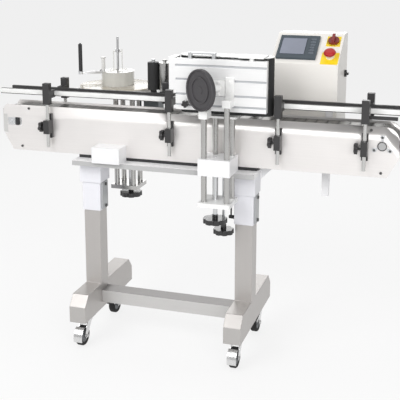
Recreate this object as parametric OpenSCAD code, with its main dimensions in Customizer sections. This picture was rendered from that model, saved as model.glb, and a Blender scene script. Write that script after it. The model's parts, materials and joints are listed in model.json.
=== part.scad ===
// Wrap-around labelling machine on a castered stand.
// X runs along the conveyor, Y away from the operator, Z up, and the floor is at zero.

/* [Stand] */
// Distance between the centres of the two legs
leg_span = 590; // [500:5:700]
// Where the middle between the legs lies from the origin, along the conveyor
stand_x = -79; // [-120:1:0]
// Where the middle of the feet lies from the origin, front to back
stand_y = -52; // [-120:1:0]
// Width of a foot and of the lower post
foot_w = 64; // [50:1:80]
// Length of a foot, front to back
foot_len = 458; // [400:2:560]
// Length of the flat top of a foot
foot_flat = 392; // [300:2:440]
// Height of a foot
foot_h = 100; // [80:1:120]
// Height of the upright ends of a foot
toe_h = 61; // [40:1:75]
// Width of the square lower post
post_w = 64; // [50:1:80]
// Wall of the feet, the posts and the crossbar
tube_wall = 3; // [2:0.5:5]
// Distance of the posts from the middle of the feet, front to back
post_y = -45; // [-80:1:40]
// Height of the crossbar
bar_h = 48; // [30:1:60]
// Height of the crossbar above the underside of the feet
bar_rise = 25; // [5:1:40]

/* [Casters] */
// Height of a caster, floor to underside of the foot
caster_h = 102; // [90:1:110]
// Radius of a caster wheel
wheel_r = 37; // [30:0.5:40]
// Width of a caster tyre
tyre_w = 26; // [20:1:32]
// Distance of the caster stems from the middle of the feet
caster_y = 155; // [120:1:180]
// Distance from stem to wheel axle
caster_trail = 35; // [25:1:40]

/* [Height adjustment] */
// Height of the top of the conveyor side panels above the floor
bed_z = 880; // [860:1:960]
// Outer width of a leg sleeve
sleeve_w = 71; // [70.6:0.2:78]
// Height of a leg sleeve below its collar
sleeve_h = 110; // [80:1:160]
// Outer width of a leg collar
collar_w = 84; // [80:1:100]
// Height of a leg collar below the base plate
collar_h = 75; // [50:1:90]

/* [Base plate] */
// Length of the base plate
base_len = 690; // [680:5:760]
// Front edge of the base plate
base_front = -134; // [-150:1:-125]
// Rear edge of the base plate
base_back = 190; // [180:1:260]
// Height of the folded edge of the base plate
base_h = 18; // [14:1:30]
// Thickness of the sheet of the base plate
base_sheet = 6; // [4:0.5:8]
// Thickness of the black pads under the conveyor
pad_h = 11; // [6:1:20]

/* [Conveyor] */
// Left end of the side panels
panel_left = -651; // [-800:1:-640]
// Right end of the side panels
panel_right = 824; // [800:1:950]
// Height of a side panel
panel_h = 174; // [160:1:200]
// Thickness of a side panel
panel_t = 4; // [2:0.5:6]
// Outer face of the front panel
panel_front = -80; // [-90:1:-78]
// Outer face of the rear panel
panel_back = 30; // [28:1:34]
// Width of the slat chain
chain_w = 82; // [60:1:84]
// Thickness of the slat chain
chain_t = 6; // [4:0.5:8]
// Outer radius of the chain where it turns
nose_r = 58; // [45:1:60]
// Depth of the chain below the top of the panels
chain_drop = 6; // [3:1:12]
// Length of one slat
slat_pitch = 38; // [25:1:60]
// Radius of the chain shafts
shaft_r = 12.5; // [8:0.5:15]

/* [Guide rails] */
// Left end of the guide rails
rail_left = -668; // [-760:1:-640]
// Right end of the guide rails
rail_right = 822; // [800:1:900]
// Height of a guide rail
rail_h = 20; // [12:1:26]
// Thickness of a guide rail
rail_t = 12; // [8:1:16]
// Height of the middle of the rails above the side panels
rail_rise = 48; // [36:1:70]
// Clear width between the front and the rear rail
rail_gap = 56; // [40:1:70]
// Radius of the upright holder rods
rod_r = 6.5; // [5:0.5:8]

/* [Wrap unit] */
// Distance from the left end of the ribbed panel to the middle of the lift block
wrap_in = 156; // [140:1:165]
// Length of the ribbed front panel
wrap_len = 323; // [280:1:326]
// Height of the ribbed front panel
wrap_h = 178; // [120:1:240]
// Front face of the ribbed panel
wrap_front = -140; // [-150:1:-132]
// Height of the underside of the ribbed panel above the side panels
wrap_rise = 32; // [28:1:60]
// Radius of the two belt rollers
roller_r = 33; // [25:0.5:34]
// Thickness of the wrap belt
belt_t = 3; // [2:0.5:5]

/* [Wrap unit lift] */
// Distance of the lift block from the middle of the right leg
lift_in = 77; // [70:1:95]
// Width of the lift block
lift_w = 114; // [106:1:130]
// Front face of the lift block
lift_front = -200; // [-220:1:-195]
// Depth of the lift block
lift_d = 110; // [106:1:112]
// Height of the lift block
lift_h = 58; // [40:1:64]
// Distance between the lift posts along the conveyor
lift_post_gap = 82; // [76:1:90]
// Radius of the chrome lift posts
lift_post_r = 10; // [7:0.5:12]
// Radius of the lift handwheels
hand_r = 43; // [36:1:44]
// Radius of the smaller handwheel of the cross slide
cross_hand_r = 37; // [30:0.5:37.5]

/* [Black wheel] */
// Radius of the black wheel in front of the wrap unit
dial_r = 71.5; // [50:0.5:80]
// Thickness of the black wheel
dial_t = 18; // [12:1:22]
// Angle of the black wheel away from the operator's side
dial_turn = 34; // [0:1:45]

/* [Label head] */
// Middle of the label head lift along the conveyor
head_x = -221; // [-240:1:-200]
// Middle of the label head lift, front to back
head_y = 110; // [100:1:120]
// Height of the label head plate above the side panels
head_rise = 23; // [18:1:60]
// Thickness of the label head plate
head_t = 12; // [8:1:16]
// Middle of the label roll along the conveyor
reel_x = -296; // [-310:1:-280]
// Middle of the label roll, front to back
reel_y = 200; // [195:1:220]
// Radius of the clear disc under the label roll
platter_r = 151; // [120:1:152]
// Radius of the core holder
core_r = 64; // [38:1:70]
// Radius of the rubber feed roller
feed_r = 22.5; // [18:0.5:24]
// Radius of the chrome feed roller
chrome_r = 24.5; // [18:0.5:26]
// Length of the feed rollers
feed_len = 106; // [60:1:140]

/* [Control box] */
// Left side of the control box
box_left = 347; // [340:1:360]
// Width of the control box
box_w = 243; // [200:1:280]
// Front of the control box
box_front = 75; // [72:1:100]
// Depth of the control box
box_depth = 225; // [180:1:260]
// Depth of the sloping face of the control box
slope_depth = 147; // [140:1:170]
// Height of the sloping face of the control box
slope_rise = 95; // [70:1:120]
// Height of the upright front of the control box
box_h = 288; // [200:1:300]
// Sheet thickness of the control box
box_sheet = 2.5; // [1.5:0.5:4]
// Width kept for the switches beside the touch panel
switch_w = 84; // [80:1:110]
// Height of the touch panel along the slope
screen_h = 127; // [90:1:130]

/* [Hidden] */
$fn = 48;

// Gap between faces that move past each other, radial gap of a shaft, overrun of a cut
gap = 0.3;
fit = 0.05;
over = 2;
// How far joined shapes run into each other, and the room around what passes through a sheet
bite = 1;
room = 2;

// Stand, worked out from its sizes
leg_x = leg_span / 2;
lift_x = leg_x - lift_in;
wrap_left = lift_x - wrap_in;
foot_z = caster_h;
foot_top = foot_z + foot_h;
bar_z = foot_z + bar_rise;
base_z = bed_z - panel_h - pad_h;
base_under = base_z - base_sheet;
collar_z = base_z - base_h - collar_h;
sleeve_z = collar_z - sleeve_h;
post_short = 12;
post_top = base_z - base_h - post_short;
m8_r = 4;
m8_head_r = 6.5;
m8_head_h = 5.5;
m6_head_r = 5;
m6_head_h = 4;

// Casters
plate_t = 5;
plate_w = 56;
swivel_r = 20;
swivel_h = 9;
stem_r = 6;
fork_t = 3;
fork_top_h = 8;
hub_r = 24;
hub_w = 20;
axle_r = 4;
pedal_len = 34;
pedal_w = 20;
pedal_t = 4;
tread_round = 3;
tread_side = 4;
leg_clamp_t = 6;
slot_room = 8;
gusset_w = 40;
front_box_x = -259;
front_box_w = 108;
front_box_d = 70;

// Conveyor
nose_out = 3;
nose_round = 45;
nose_in = 3;
chain_y = (panel_front + panel_back) / 2;
shaft_z = bed_z - chain_drop - nose_r;
drive_x = panel_right + nose_out - nose_r;
idler_x = panel_left + nose_in + nose_r;
run_len = drive_x - idler_x;
chain_in_r = nose_r - chain_t;
panel_z = bed_z - panel_h;
corner_x = 37;
corner_z = 66;
top_corner = 13;
inner_front = panel_front + panel_t;
inner_back = panel_back - panel_t;
sprocket_w = 38;
sprocket_hub_r = 22;
tooth_count = 12;
tooth_cut_r = 6;
sprocket_r = chain_in_r - 2 * gap;
bearing_r = 16;
bearing_h = 10;
bearing_pcr = 30;
lug_r = 8;
lug_h = 4;
slot_h = 29;
take_up_in = 18;
take_up_x = panel_left + take_up_in;
take_up_w = 29;
notch_w = 15;
notch_low = 48;
notch_up = 26;
strip_w = 10;
strip_h = 11;
strip_in = 6;
spacer_w = 20;
spacer_h = 14;
spacer_xs = [for (share = [0.08, 0.3, 0.52, 0.74, 0.93]) idler_x + share * run_len];
low_rod_r = 8;
low_rod_rise = 24;
end_t = 5;
end_h = 92;
end_arm_t = 6;
shaft_short = 2;
hub_in = 4;
strip_short = 1;
pad_in = 5;
chain_groove = 1.5;

// Gearmotor
gear_w = 64;
gear_d = 60;
gear_gap = 4;
gear_up = 20;
gear_down = 62;
gear_foot = 14;
motor_r = 28;
motor_len = 120;
motor_drop = 30;
motor_box_w = 20;

// Guide rails
rail_z = bed_z + rail_rise;
rail_shift = 1;
front_rail_y = chain_y + rail_shift - rail_gap / 2 - rail_t;
rear_rail_y = front_rail_y + rail_t + rail_gap;
holder_left = -455;
holder_right = 712;
holder_gap = 38;
holder_past = 33;
holder_xs = [holder_left, wrap_left - holder_gap, wrap_left + wrap_len + holder_past, holder_right];
rear_holder_in = 40;
rear_holder_short = 118;
rear_holder_xs = [holder_left, -rear_holder_in, holder_xs[2] - rear_holder_short, holder_right];
clamp_w = 22;
clamp_h = 92;
clamp_d = 38;
rod_in = 20;
holder_y = panel_front - rod_in;
rear_holder_y = panel_back + rod_in;
clamp_drop = 24;
clamp_z = bed_z - clamp_drop - clamp_h;
rod_below = 34;
head_w = 25;
head_h = 79;
head_up = 12;
head_low = bed_z + head_up;
head_top = head_low + head_h;
head_wall = 12;
jaw_t = 4;
clamp_knob_r = 19;
clamp_knob_t = 11;
clamp_stem_r = 5;
clamp_stem_len = 12;
clamp_lobe_r = 8;
clamp_lobe_out = 3;
rear_rail_in = 10;
gate_left = 4;
gate_right = 72;
low_rail_drop = 17;
low_rail_h = 11;
low_rail_short = 8;
groove_h = 4;
groove_d = 2;

// Wrap unit
wrap_z = bed_z + wrap_rise;
wrap_t = 24;
belt_over = 4;
belt_under = 16;
belt_gap = 6;
belt_in = 4;
belt_out = 8;
belt_front = wrap_front + wrap_t + belt_gap;
belt_x1 = wrap_left + belt_in + roller_r;
belt_x2 = wrap_left + wrap_len + belt_out - roller_r;
belt_y = belt_front + belt_t + roller_r;
belt_z = wrap_z - belt_under;
belt_h = wrap_h + belt_under + belt_over;
roller_shaft_r = 8;
frame_t = 8;
frame_half = 22;
deck_in = 4;
deck_top_z = belt_z + belt_h - deck_in - frame_t;
deck_low_z = belt_z + deck_in;
pillar_r = 8;
pillar_in = 48;
pillar_xs = [belt_x1 + pillar_in, belt_x2 - pillar_in];
strap_up = 8;
strap_z = wrap_z + wrap_h + strap_up;
strap_in = 30;
strap_x = belt_x2 - strap_in;
motor_in = 96;
motor_x = belt_x1 + motor_in;
wrap_motor_r = 24;
wrap_motor_len = 96;
wrap_motor_neck = 14;
rib_d = 3;
rib_h = 7;
rib_shares = [0.1, 0.31, 0.6, 0.87];
end_strip_t = 2;
bail_in = 45;
bail_x = wrap_left + bail_in;
end_strip_w = 24;
end_strip_h = 114;
end_strip_d = 60;
bail_w = 97;
bail_h = 16;
bail_t = 6;
bail_d = 18;
bail_back = 3;
strap_w = 88;
strap_t = 5;
cover_t = 3;
cover_gap = 2;
star_r = 13;
star_x = 40;
star_rise = 22;
star_len = 20;
lobe_out = 2;

// Wrap unit lift
lift_back = lift_front + lift_d;
front_post_in = 22;
rear_post_in = 19;
lift_post_y1 = lift_front + front_post_in;
lift_post_y2 = lift_back - rear_post_in;
lift_xs = [lift_x - lift_post_gap / 2, lift_x + lift_post_gap / 2];
rear_post_shift = 21;
rear_post_xs = [lift_xs[0] + rear_post_shift, lift_xs[1]];
post_places = [for (x = lift_xs) [x, lift_post_y1], for (x = rear_post_xs) [x, lift_post_y2]];
lift_plate_drop = 113;
lift_plate_z = base_z - lift_plate_drop;
lift_plate_t = 16;
screw_r = 8;
screw_left = 10;
screw_x = lift_x - screw_left;
screw_y = (lift_post_y1 + lift_post_y2) / 2;
cross_in = 8;
cross_x = lift_x + cross_in;
cross_y = lift_back - cross_in;
cross_rod_r = 5;
keel_w = 5;
keel_len = 30;
keel_half = 14;
gib_half = 18;
keel_x = (rear_post_xs[0] + rear_post_xs[1]) / 2;
gib_t = 8;
front_post_up = 80;
front_post_top = bed_z + front_post_up;
bracket_w = 30;
bracket_h = 71;
bracket_t = 8;
saddle_h = 26;
saddle_drop = 42;
carrier_t = 7;
carrier_drop = 13;
carrier_z = belt_z - carrier_drop;
rear_post_top = carrier_z;
hand_t = 17;
hand_hub_r = 10;
hand_lobes = 8;
hand_notch_r = 9;
hand_drop = 181;
cross_hand_drop = 233;
hand_z = base_z - hand_drop;
cross_hand_z = base_z - cross_hand_drop;
screw_short = 6;

// Cable beside the right leg: bends as distance from the leg's middle and height below the tray
cable_r = 3;
cable_sides = 8;
cable_path = [[-48, 0], [-48, -20], [-53, -60], [-51, -110], [-52, -176]];
cable_in = 15;

// Black wheel
dial_in = 44;
dial_x = lift_x - dial_in;
dial_y = -206;
dial_up = 114;
dial_z = bed_z + dial_up;
dial_round = 2;
dial_ring_r = 46;
dial_ring_w = 6;
dial_dish = 6;
dial_hub_r = 13;
dial_shaft_r = 6;
boss_r = 13;
boss_in = 6;
boss_len = (wrap_front - dial_y) / cos(dial_turn) - dial_t / 2 + boss_in;
dial_shaft_end = (wrap_front - dial_y - room) / cos(dial_turn) - dial_shaft_r * tan(dial_turn);
boss_x = dial_x + (wrap_front - dial_y) * tan(dial_turn);
foot_plate_w = 46;
foot_plate_h = 56;
foot_plate_t = 6;

// Label head
head_z = bed_z + head_rise;
head_top_z = head_z + head_t;
head_plate_drop = 153;
head_plate_z = base_z - head_plate_drop;
column_gap_x = 68;
column_gap_y = 70;
column_r = 10;
column_xs = [head_x - column_gap_x / 2, head_x + column_gap_x / 2];
column_ys = [head_y - column_gap_y / 2, head_y + column_gap_y / 2];
head_w_plate = 109;
head_d_plate = 100;
head_nip = 18;
spindle_r = 6;
platter_hub_r = 20;
arm_rise = 36;
peel_x = 38;
peel_y = 30;
head_screw_in = 9;
head_screw_x = head_x + head_screw_in;
head_hand_drop = 189;
head_hand_z = base_z - head_hand_drop;
platter_t = 5;
platter_up = 8;
platter_z = head_top_z + platter_up;
spindle_out = 6;
core_h = 56;
core_wall = 4;
mandrel_r = 5;
mandrel_h = 190;
finger_r = 4;
finger_in = 18;
pivot_x = -413;
pivot_y = 322;
dancer_dx = -78;
dancer_dy = -52;
dancer_r = 8;
dancer_len = 113;
arm_t = 10;
arm_w = 14;
arm_rim = 4;
guide_r = 8;
guide_len = 104;
guide_foot_h = 9;
guide_cap_h = 5;
small_guide_x = 140;
small_guide_y = 56;
feed_x = -128;
feed_y = 150;
chrome_x = feed_x + feed_r + chrome_r + gap;
feed_up = 10;
feed_z = head_top_z + feed_up;
feed_cap = 7;
head_left = -452;
head_right = 12;
head_front = 72;
head_back = 352;
peel_t = 4;
peel_h = 92;
peel_nose = 3;
peel_arm_l = 26;
peel_arm_w = 20;
peel_foot_l = 60;
peel_foot_w = 34;
peel_foot_h = 14;
peel_foot_in = 8;
head_motor_drop = 7;
motor_w = 60;
motor_h = 70;

// Control box
box_right = box_left + box_w;
fold_up = 178;
fold_z = bed_z + fold_up;
box_z = fold_z - box_h;
box_back = box_front + box_depth;
slope_turn = atan2(slope_rise, slope_depth);
screen_in = 15;
screen_x = box_left + screen_in;
screen_w = box_w - screen_in - switch_w;
screen_up = 22;
screen_t = 9;
screen_deep = 34;
switch_in = 34;
switch_x = box_right - switch_in;
stop_up = 41;
main_up = 130;
stop_r = 22;
stop_stem_r = 11;
stop_cap_h = 14;
stop_travel = 6;
collar_r = 15;
collar_t = 12;
latch_in = 54;
latch_drop = 52;
latch_y = box_back - latch_in;
latch_z = fold_z - latch_drop;
latch_t = 8;
latch_grip = 8;
latch_r = 13;
latch_stem_r = 6;
screen_rim = 12;
switch_stem_r = 7;
switch_dial_r = 20;
plate_r = 27;
stop_stem_in = 16;
bracket_wide = 25;
bracket_in = 20;
bracket_right_in = 38;
bracket_low_drop = 101;
bracket_rise = 60;
bracket_top_drop = 30;
bracket_box_up = 20;
bracket_step = 14;
switch_plate_t = 1;
switch_disc_t = 8;
switch_grip_h = 14;
screen_dish = 1.5;
stop_round = 4;
stop_edge = 3;

module at_stand() translate([stand_x, stand_y, 0]) children();
module block(low, high) translate(low) cube(high - low);
module rod_z(r, from, to) translate([0, 0, from]) cylinder(r = r, h = to - from);
module rod_y(r, from, to) translate([0, from, 0]) rotate([-90, 0, 0]) cylinder(r = r, h = to - from);
module rod_x(r, from, to) translate([from, 0, 0]) rotate([0, 90, 0]) cylinder(r = r, h = to - from);
module hex_z(r, h) cylinder(r = r, h = h, $fn = 6);

// A lobed plastic handwheel with its hub on top, from z = 0 down to its underside
module lobed_wheel(r, t, hub_rise) {
    linear_extrude(t) difference() {
        circle(r);
        for (i = [0 : hand_lobes - 1])
            rotate(i * 360 / hand_lobes) translate([r + hand_notch_r / 2, 0]) circle(hand_notch_r);
    }
    rod_z(hand_hub_r, 0, t + hub_rise);
}

// Side outline of a foot as seen from the end of the conveyor
module foot_outline(inset) {
    half = foot_len / 2 - inset;
    flat = foot_flat / 2 - inset / 2;
    polygon([
        [-half, inset], [half, inset], [half, toe_h], [flat, foot_h - inset],
        [-flat, foot_h - inset], [-half, toe_h]
    ]);
}

module leg(x) {
    at_stand() translate([x, 0, 0]) difference() {
        union() {
            translate([-foot_w / 2, 0, foot_z]) rotate([90, 0, 90]) linear_extrude(foot_w) foot_outline(0);
            translate([-post_w / 2, post_y - post_w / 2, foot_top]) cube([post_w, post_w, post_top - foot_top]);
        }
        translate([-foot_w / 2 + tube_wall, 0, foot_z]) rotate([90, 0, 90])
            linear_extrude(foot_w - 2 * tube_wall) foot_outline(tube_wall);
        translate([-post_w / 2 + tube_wall, post_y - post_w / 2 + tube_wall, foot_top + tube_wall])
            cube([post_w - 2 * tube_wall, post_w - 2 * tube_wall, post_top - foot_top - tube_wall + over]);
    }
}
module left_leg() color("Silver") leg(-leg_x);
module right_leg() color("Silver") leg(leg_x);

module crossbar() color("Gainsboro") at_stand() difference() {
    block([-leg_x + foot_w / 2, post_y - post_w / 2, bar_z],
          [leg_x - foot_w / 2, post_y + post_w / 2, bar_z + bar_h]);
    block([-leg_x + foot_w / 2 - over, post_y - post_w / 2 + tube_wall, bar_z + tube_wall],
          [leg_x - foot_w / 2 + over, post_y + post_w / 2 - tube_wall, bar_z + bar_h - tube_wall]);
}

module at_casters() for (x = [-leg_x, leg_x], y = [-caster_y, caster_y]) translate([x, y, 0]) children();

module caster_plates() color("Silver") at_stand() at_casters() {
    translate([-plate_w / 2, -plate_w / 2, foot_z - plate_t]) cube([plate_w, plate_w, plate_t]);
    rod_z(stem_r, foot_z - plate_t - swivel_h - fork_top_h, foot_z - plate_t);
    for (x = [-1, 1], y = [-1, 1]) translate([x * plate_w / 3, y * plate_w / 3, foot_z - plate_t - m6_head_h])
        cylinder(r = m6_head_r, h = m6_head_h);
}

// Swivelling fork, with its stem on the Z axis and the wheel trailing to the front
module fork(brake) color("WhiteSmoke") {
    inner = tyre_w / 2 + 2 * gap;
    top = foot_z - plate_t - gap;
    difference() {
        union() {
            rod_z(swivel_r, top - swivel_h, top);
            translate([-inner - fork_t, -swivel_r, top - swivel_h - fork_top_h])
                cube([2 * (inner + fork_t), 2 * swivel_r, fork_top_h]);
            for (x = [-inner - fork_t, inner]) translate([x, 0, 0]) rotate([90, 0, 90]) linear_extrude(fork_t)
                polygon([
                    [swivel_r, top - swivel_h], [-swivel_r, top - swivel_h],
                    [-caster_trail - m8_r * 3, wheel_r + m8_r], [-caster_trail, wheel_r - m8_r * 3],
                    [-caster_trail + m8_r * 3, wheel_r]
                ]);
        }
        rod_z(stem_r + fit, 0, top + over);
        translate([-inner, -caster_trail, wheel_r]) rod_x(wheel_r + room, 0, 2 * inner);
    }
    translate([0, -caster_trail, wheel_r]) rod_x(axle_r, -inner - fork_t, inner + fork_t);
    for (x = [-1, 1]) translate([x * (inner + fork_t + m8_head_h / 2) - m8_head_h / 2, -caster_trail, wheel_r])
        rotate([0, 90, 0]) hex_z(m8_head_r, m8_head_h);
    if (brake) translate([0, -caster_trail - wheel_r - bite - pedal_t, wheel_r]) {
        translate([-pedal_w / 2, 0, wheel_r / 2]) rotate([-18, 0, 0])
            translate([0, -pedal_len, -pedal_t / 2]) cube([pedal_w, pedal_len, pedal_t]);
        for (x = [-inner - fork_t, inner]) translate([x, 0, 0]) rotate([90, 0, 90]) linear_extrude(fork_t)
            polygon([[0, wheel_r / 2 - pedal_t], [wheel_r * 1.4, wheel_r * 0.6], [wheel_r * 1.4, wheel_r * 0.9],
                     [0, wheel_r / 2 + pedal_t]]);
        translate([-inner - fork_t, -pedal_t, wheel_r / 2 - pedal_t])
            cube([2 * (inner + fork_t), pedal_t * 2, pedal_t * 2]);
    }
}
module fork_front_left() at_stand() translate([-leg_x, -caster_y, 0]) fork(false);
module fork_front_right() at_stand() translate([leg_x, -caster_y, 0]) fork(false);
module fork_rear_left() at_stand() translate([-leg_x, caster_y, 0]) fork(true);
module fork_rear_right() at_stand() translate([leg_x, caster_y, 0]) fork(true);

// Caster wheel on its axle line, seen from above its contact point
module caster_wheel(x, y) color("DimGray") at_stand() translate([x, y - caster_trail, wheel_r])
    rotate([0, 90, 0]) rotate_extrude() polygon([
        [axle_r + fit, -tyre_w / 2], [hub_r, -hub_w / 2], [wheel_r - tread_round, -tyre_w / 2],
        [wheel_r, -tyre_w / 2 + tread_side], [wheel_r, tyre_w / 2 - tread_side],
        [wheel_r - tread_round, tyre_w / 2],
        [hub_r, hub_w / 2], [axle_r + fit, tyre_w / 2]
    ]);
module wheel_front_left() caster_wheel(-leg_x, -caster_y);
module wheel_front_right() caster_wheel(leg_x, -caster_y);
module wheel_rear_left() caster_wheel(-leg_x, caster_y);
module wheel_rear_right() caster_wheel(leg_x, caster_y);

module leg_sleeves() color("WhiteSmoke") at_stand() for (x = [-leg_x, leg_x]) translate([x, post_y, 0]) {
    difference() {
        union() {
            translate([-sleeve_w / 2, -sleeve_w / 2, sleeve_z]) cube([sleeve_w, sleeve_w, sleeve_h + over]);
            translate([-collar_w / 2, -collar_w / 2, collar_z])
                cube([collar_w, collar_w, collar_h + base_h - base_sheet]);
        }
        bore = post_w + 2 * gap;
        translate([-bore / 2, -bore / 2, sleeve_z - over]) cube([bore, bore, sleeve_h + collar_h + over]);
    }
    for (z = [collar_z + collar_h * 0.2, collar_z + collar_h * 0.45])
        translate([-collar_w / 2, -collar_w / 4, z]) rotate([0, -90, 0]) hex_z(m6_head_r, m6_head_h);
}

// Clamp plates on the right side of each sleeve, with two screws each
module leg_clamps() color("Gainsboro") at_stand() for (x = [-leg_x, leg_x])
    translate([x + sleeve_w / 2, post_y, sleeve_z + m6_head_h]) {
        plate_d = sleeve_w * 0.7;
        plate_up = sleeve_h - m8_head_r;
        translate([0, -plate_d / 2, 0]) cube([leg_clamp_t, plate_d, plate_up]);
        for (z = [m8_head_r * 1.5, plate_up - m8_head_r * 1.5]) translate([leg_clamp_t, 0, z])
            rotate([0, 90, 0]) hex_z(m8_head_r, m8_head_h);
    }

// Folded tray under the conveyor, slotted for the wrap unit's lift and bored for the label head's
module base_plate() color("WhiteSmoke") at_stand() {
    difference() {
        block([-base_len / 2, base_front, base_z - base_h], [base_len / 2, base_back, base_z]);
        block([-base_len / 2 + base_sheet, base_front + base_sheet, base_z - base_h - over],
              [base_len / 2 - base_sheet, base_back - base_sheet, base_under]);
        slot_end = lift_post_y2 + lift_post_r + slot_room;
        for (place = post_places)
            block([place[0] - lift_post_r - room, base_front - over, base_z - base_h - over],
                  [place[0] + lift_post_r + room, slot_end, base_z + over]);
        block([keel_x - keel_half, base_front - over, base_z - base_h - over],
              [keel_x + keel_half, lift_back + over, base_z + over]);
        block([keel_x - gib_half - room, base_front - over, base_z - base_h - over],
              [keel_x + gib_half + room, base_front + base_sheet + over, base_under]);
        for (x = column_xs, y = column_ys) translate([x, y, 0])
            rod_z(column_r + room, base_z - base_h - over, base_z + over);
        translate([head_screw_x, head_y, 0]) rod_z(screw_r + room, base_z - base_h - over, base_z + over);
    }
    translate([base_len / 2, chain_y, base_z]) rotate([90, 0, 0]) linear_extrude(base_sheet)
        polygon([[0, 0], [gusset_w, 0], [0, -gusset_w]]);
}

module front_box() color("WhiteSmoke") at_stand() difference() {
    front = panel_front - front_box_d;
    wall = base_sheet / 2;
    block([front_box_x, front, base_z], [front_box_x + front_box_w, panel_front, base_z + lift_h]);
    block([front_box_x + wall, front + wall, base_z - over],
          [front_box_x + front_box_w - wall, panel_front + over, base_z + lift_h - wall]);
}

// Outline of a side panel, seen from the front, rounded where the bottles leave
module panel_outline() {
    polygon([
        [panel_left + top_corner, bed_z], [panel_right - nose_round, bed_z],
        [panel_right, bed_z - nose_round], [panel_right, panel_z + corner_z],
        [panel_right - corner_x, panel_z], [panel_left + corner_x, panel_z],
        [panel_left, panel_z + corner_z], [panel_left, bed_z - top_corner]
    ]);
    translate([panel_right - nose_round, bed_z - nose_round]) circle(nose_round);
}

module side_panel(y) at_stand() difference() {
    translate([0, y + panel_t, 0]) rotate([90, 0, 0]) linear_extrude(panel_t) difference() {
        panel_outline();
        translate([drive_x, shaft_z]) circle(shaft_r + room);
        translate([take_up_x, shaft_z - slot_h / 2]) square([idler_x + slot_h / 2 - take_up_x, slot_h]);
        translate([panel_left - over, shaft_z - notch_low]) square([notch_w + over, notch_low + notch_up]);
    }
}
module front_panel() color("Gainsboro") side_panel(panel_front);
module rear_panel() color("Gainsboro") side_panel(inner_back);

// Cross bars and tie rods between the panels, the black pads and the end plate with its tension screws
module conveyor_spacers() color("Silver") at_stand() {
    spacer_top = bed_z - chain_drop - chain_t - strip_h - gap;
    for (x = spacer_xs) {
        block([x - spacer_w / 2, inner_front, spacer_top - spacer_h],
              [x + spacer_w / 2, inner_back, spacer_top]);
        translate([x, 0, panel_z + low_rod_rise]) rod_y(low_rod_r, inner_front, inner_back);
    }
    low = shaft_z - end_h / 2;
    high = shaft_z + end_h / 2;
    block([panel_left - end_t, inner_front, low], [panel_left - gap, inner_back, high]);
    for (y = [inner_front, inner_back - end_arm_t])
        block([panel_left - end_t, y, low], [take_up_x - gap, y + end_arm_t, high]);
    for (z = [shaft_z - end_h / 4, shaft_z + end_h / 5]) translate([panel_left - end_t - m8_head_h, chain_y, z])
        rotate([0, 90, 0]) hex_z(m8_head_r, m8_head_h);
}

// The chain stands still: a ring of slats, grooved at each hinge and parted over the two shafts
module slat_chain() color("DarkGray") at_stand() translate([0, chain_y + chain_w / 2, 0]) rotate([90, 0, 0]) {
    count = floor(run_len / slat_pitch);
    linear_extrude(chain_w) difference() {
        union() {
            for (x = [idler_x, drive_x]) translate([x, shaft_z]) circle(nose_r, $fn = 96);
            translate([idler_x, shaft_z - nose_r]) square([run_len, 2 * nose_r]);
        }
        for (x = [idler_x, drive_x]) translate([x, shaft_z]) circle(chain_in_r, $fn = 96);
        translate([idler_x, shaft_z - chain_in_r]) square([run_len, 2 * chain_in_r]);
        for (x = [idler_x, drive_x]) translate([x - gap / 2, shaft_z - nose_r - over])
            square([gap, 2 * (nose_r + over)]);
        for (i = [0 : count], side = [-1, 1])
            translate([idler_x + i * run_len / count - chain_groove / 2,
                       shaft_z + side * nose_r - chain_groove])
                square([chain_groove, 2 * chain_groove]);
        turns = 4;
        for (i = [1 : turns - 1], side = [-1, 1])
            translate([side > 0 ? drive_x : idler_x, shaft_z]) rotate(90 - side * i * 180 / turns)
                translate([nose_r - chain_groove, -chain_groove / 2]) square([2 * chain_groove, chain_groove]);
    }
}

module chain_bed() color("Black") at_stand() {
    top = bed_z - chain_drop - chain_t - gap;
    for (y = [chain_y - chain_w / 2 + strip_in, chain_y + chain_w / 2 - strip_in - strip_w])
        block([idler_x + strip_short, y, top - strip_h], [drive_x - strip_short, y + strip_w, top]);
    for (y = [panel_front, panel_back - 2 * strip_w])
        block([-base_len / 2 + pad_in, y, base_z], [base_len / 2 - pad_in, y + 2 * strip_w, panel_z]);
}

// Flanged bearing on the outside of a panel, its bore on the Y axis
module flange_bearing() difference() {
    union() {
        rod_y(bearing_r, -bearing_h, 0);
        for (a = [30, 150, 270]) rotate([0, a, 0]) translate([bearing_pcr, 0, 0]) {
            rod_y(lug_r, -lug_h, 0);
            translate([0, -lug_h, 0]) rotate([90, 0, 0]) hex_z(m6_head_r, m6_head_h);
            block([-bearing_pcr + bearing_r / 2, -lug_h, -lug_h], [0, 0, lug_h]);
        }
    }
    rod_y(shaft_r + fit, -bearing_h - over, over);
}
module shaft_bearings() color("Gainsboro") at_stand() {
    for (x = [drive_x, idler_x]) {
        if (x == drive_x) translate([x, panel_front, shaft_z]) flange_bearing();
        translate([x, panel_back, shaft_z]) mirror([0, 1, 0]) flange_bearing();
    }
    difference() {
        union() {
            block([take_up_x, panel_front, shaft_z - slot_h / 2],
                  [take_up_x + take_up_w, inner_front + bite, shaft_z + slot_h / 2]);
            block([take_up_x, inner_front, shaft_z - slot_h],
                  [idler_x + slot_h, chain_y - chain_w / 2 - gap, shaft_z + slot_h]);
        }
        translate([idler_x, 0, shaft_z]) rod_y(shaft_r + fit, panel_front - over, chain_y);
    }
}

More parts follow.
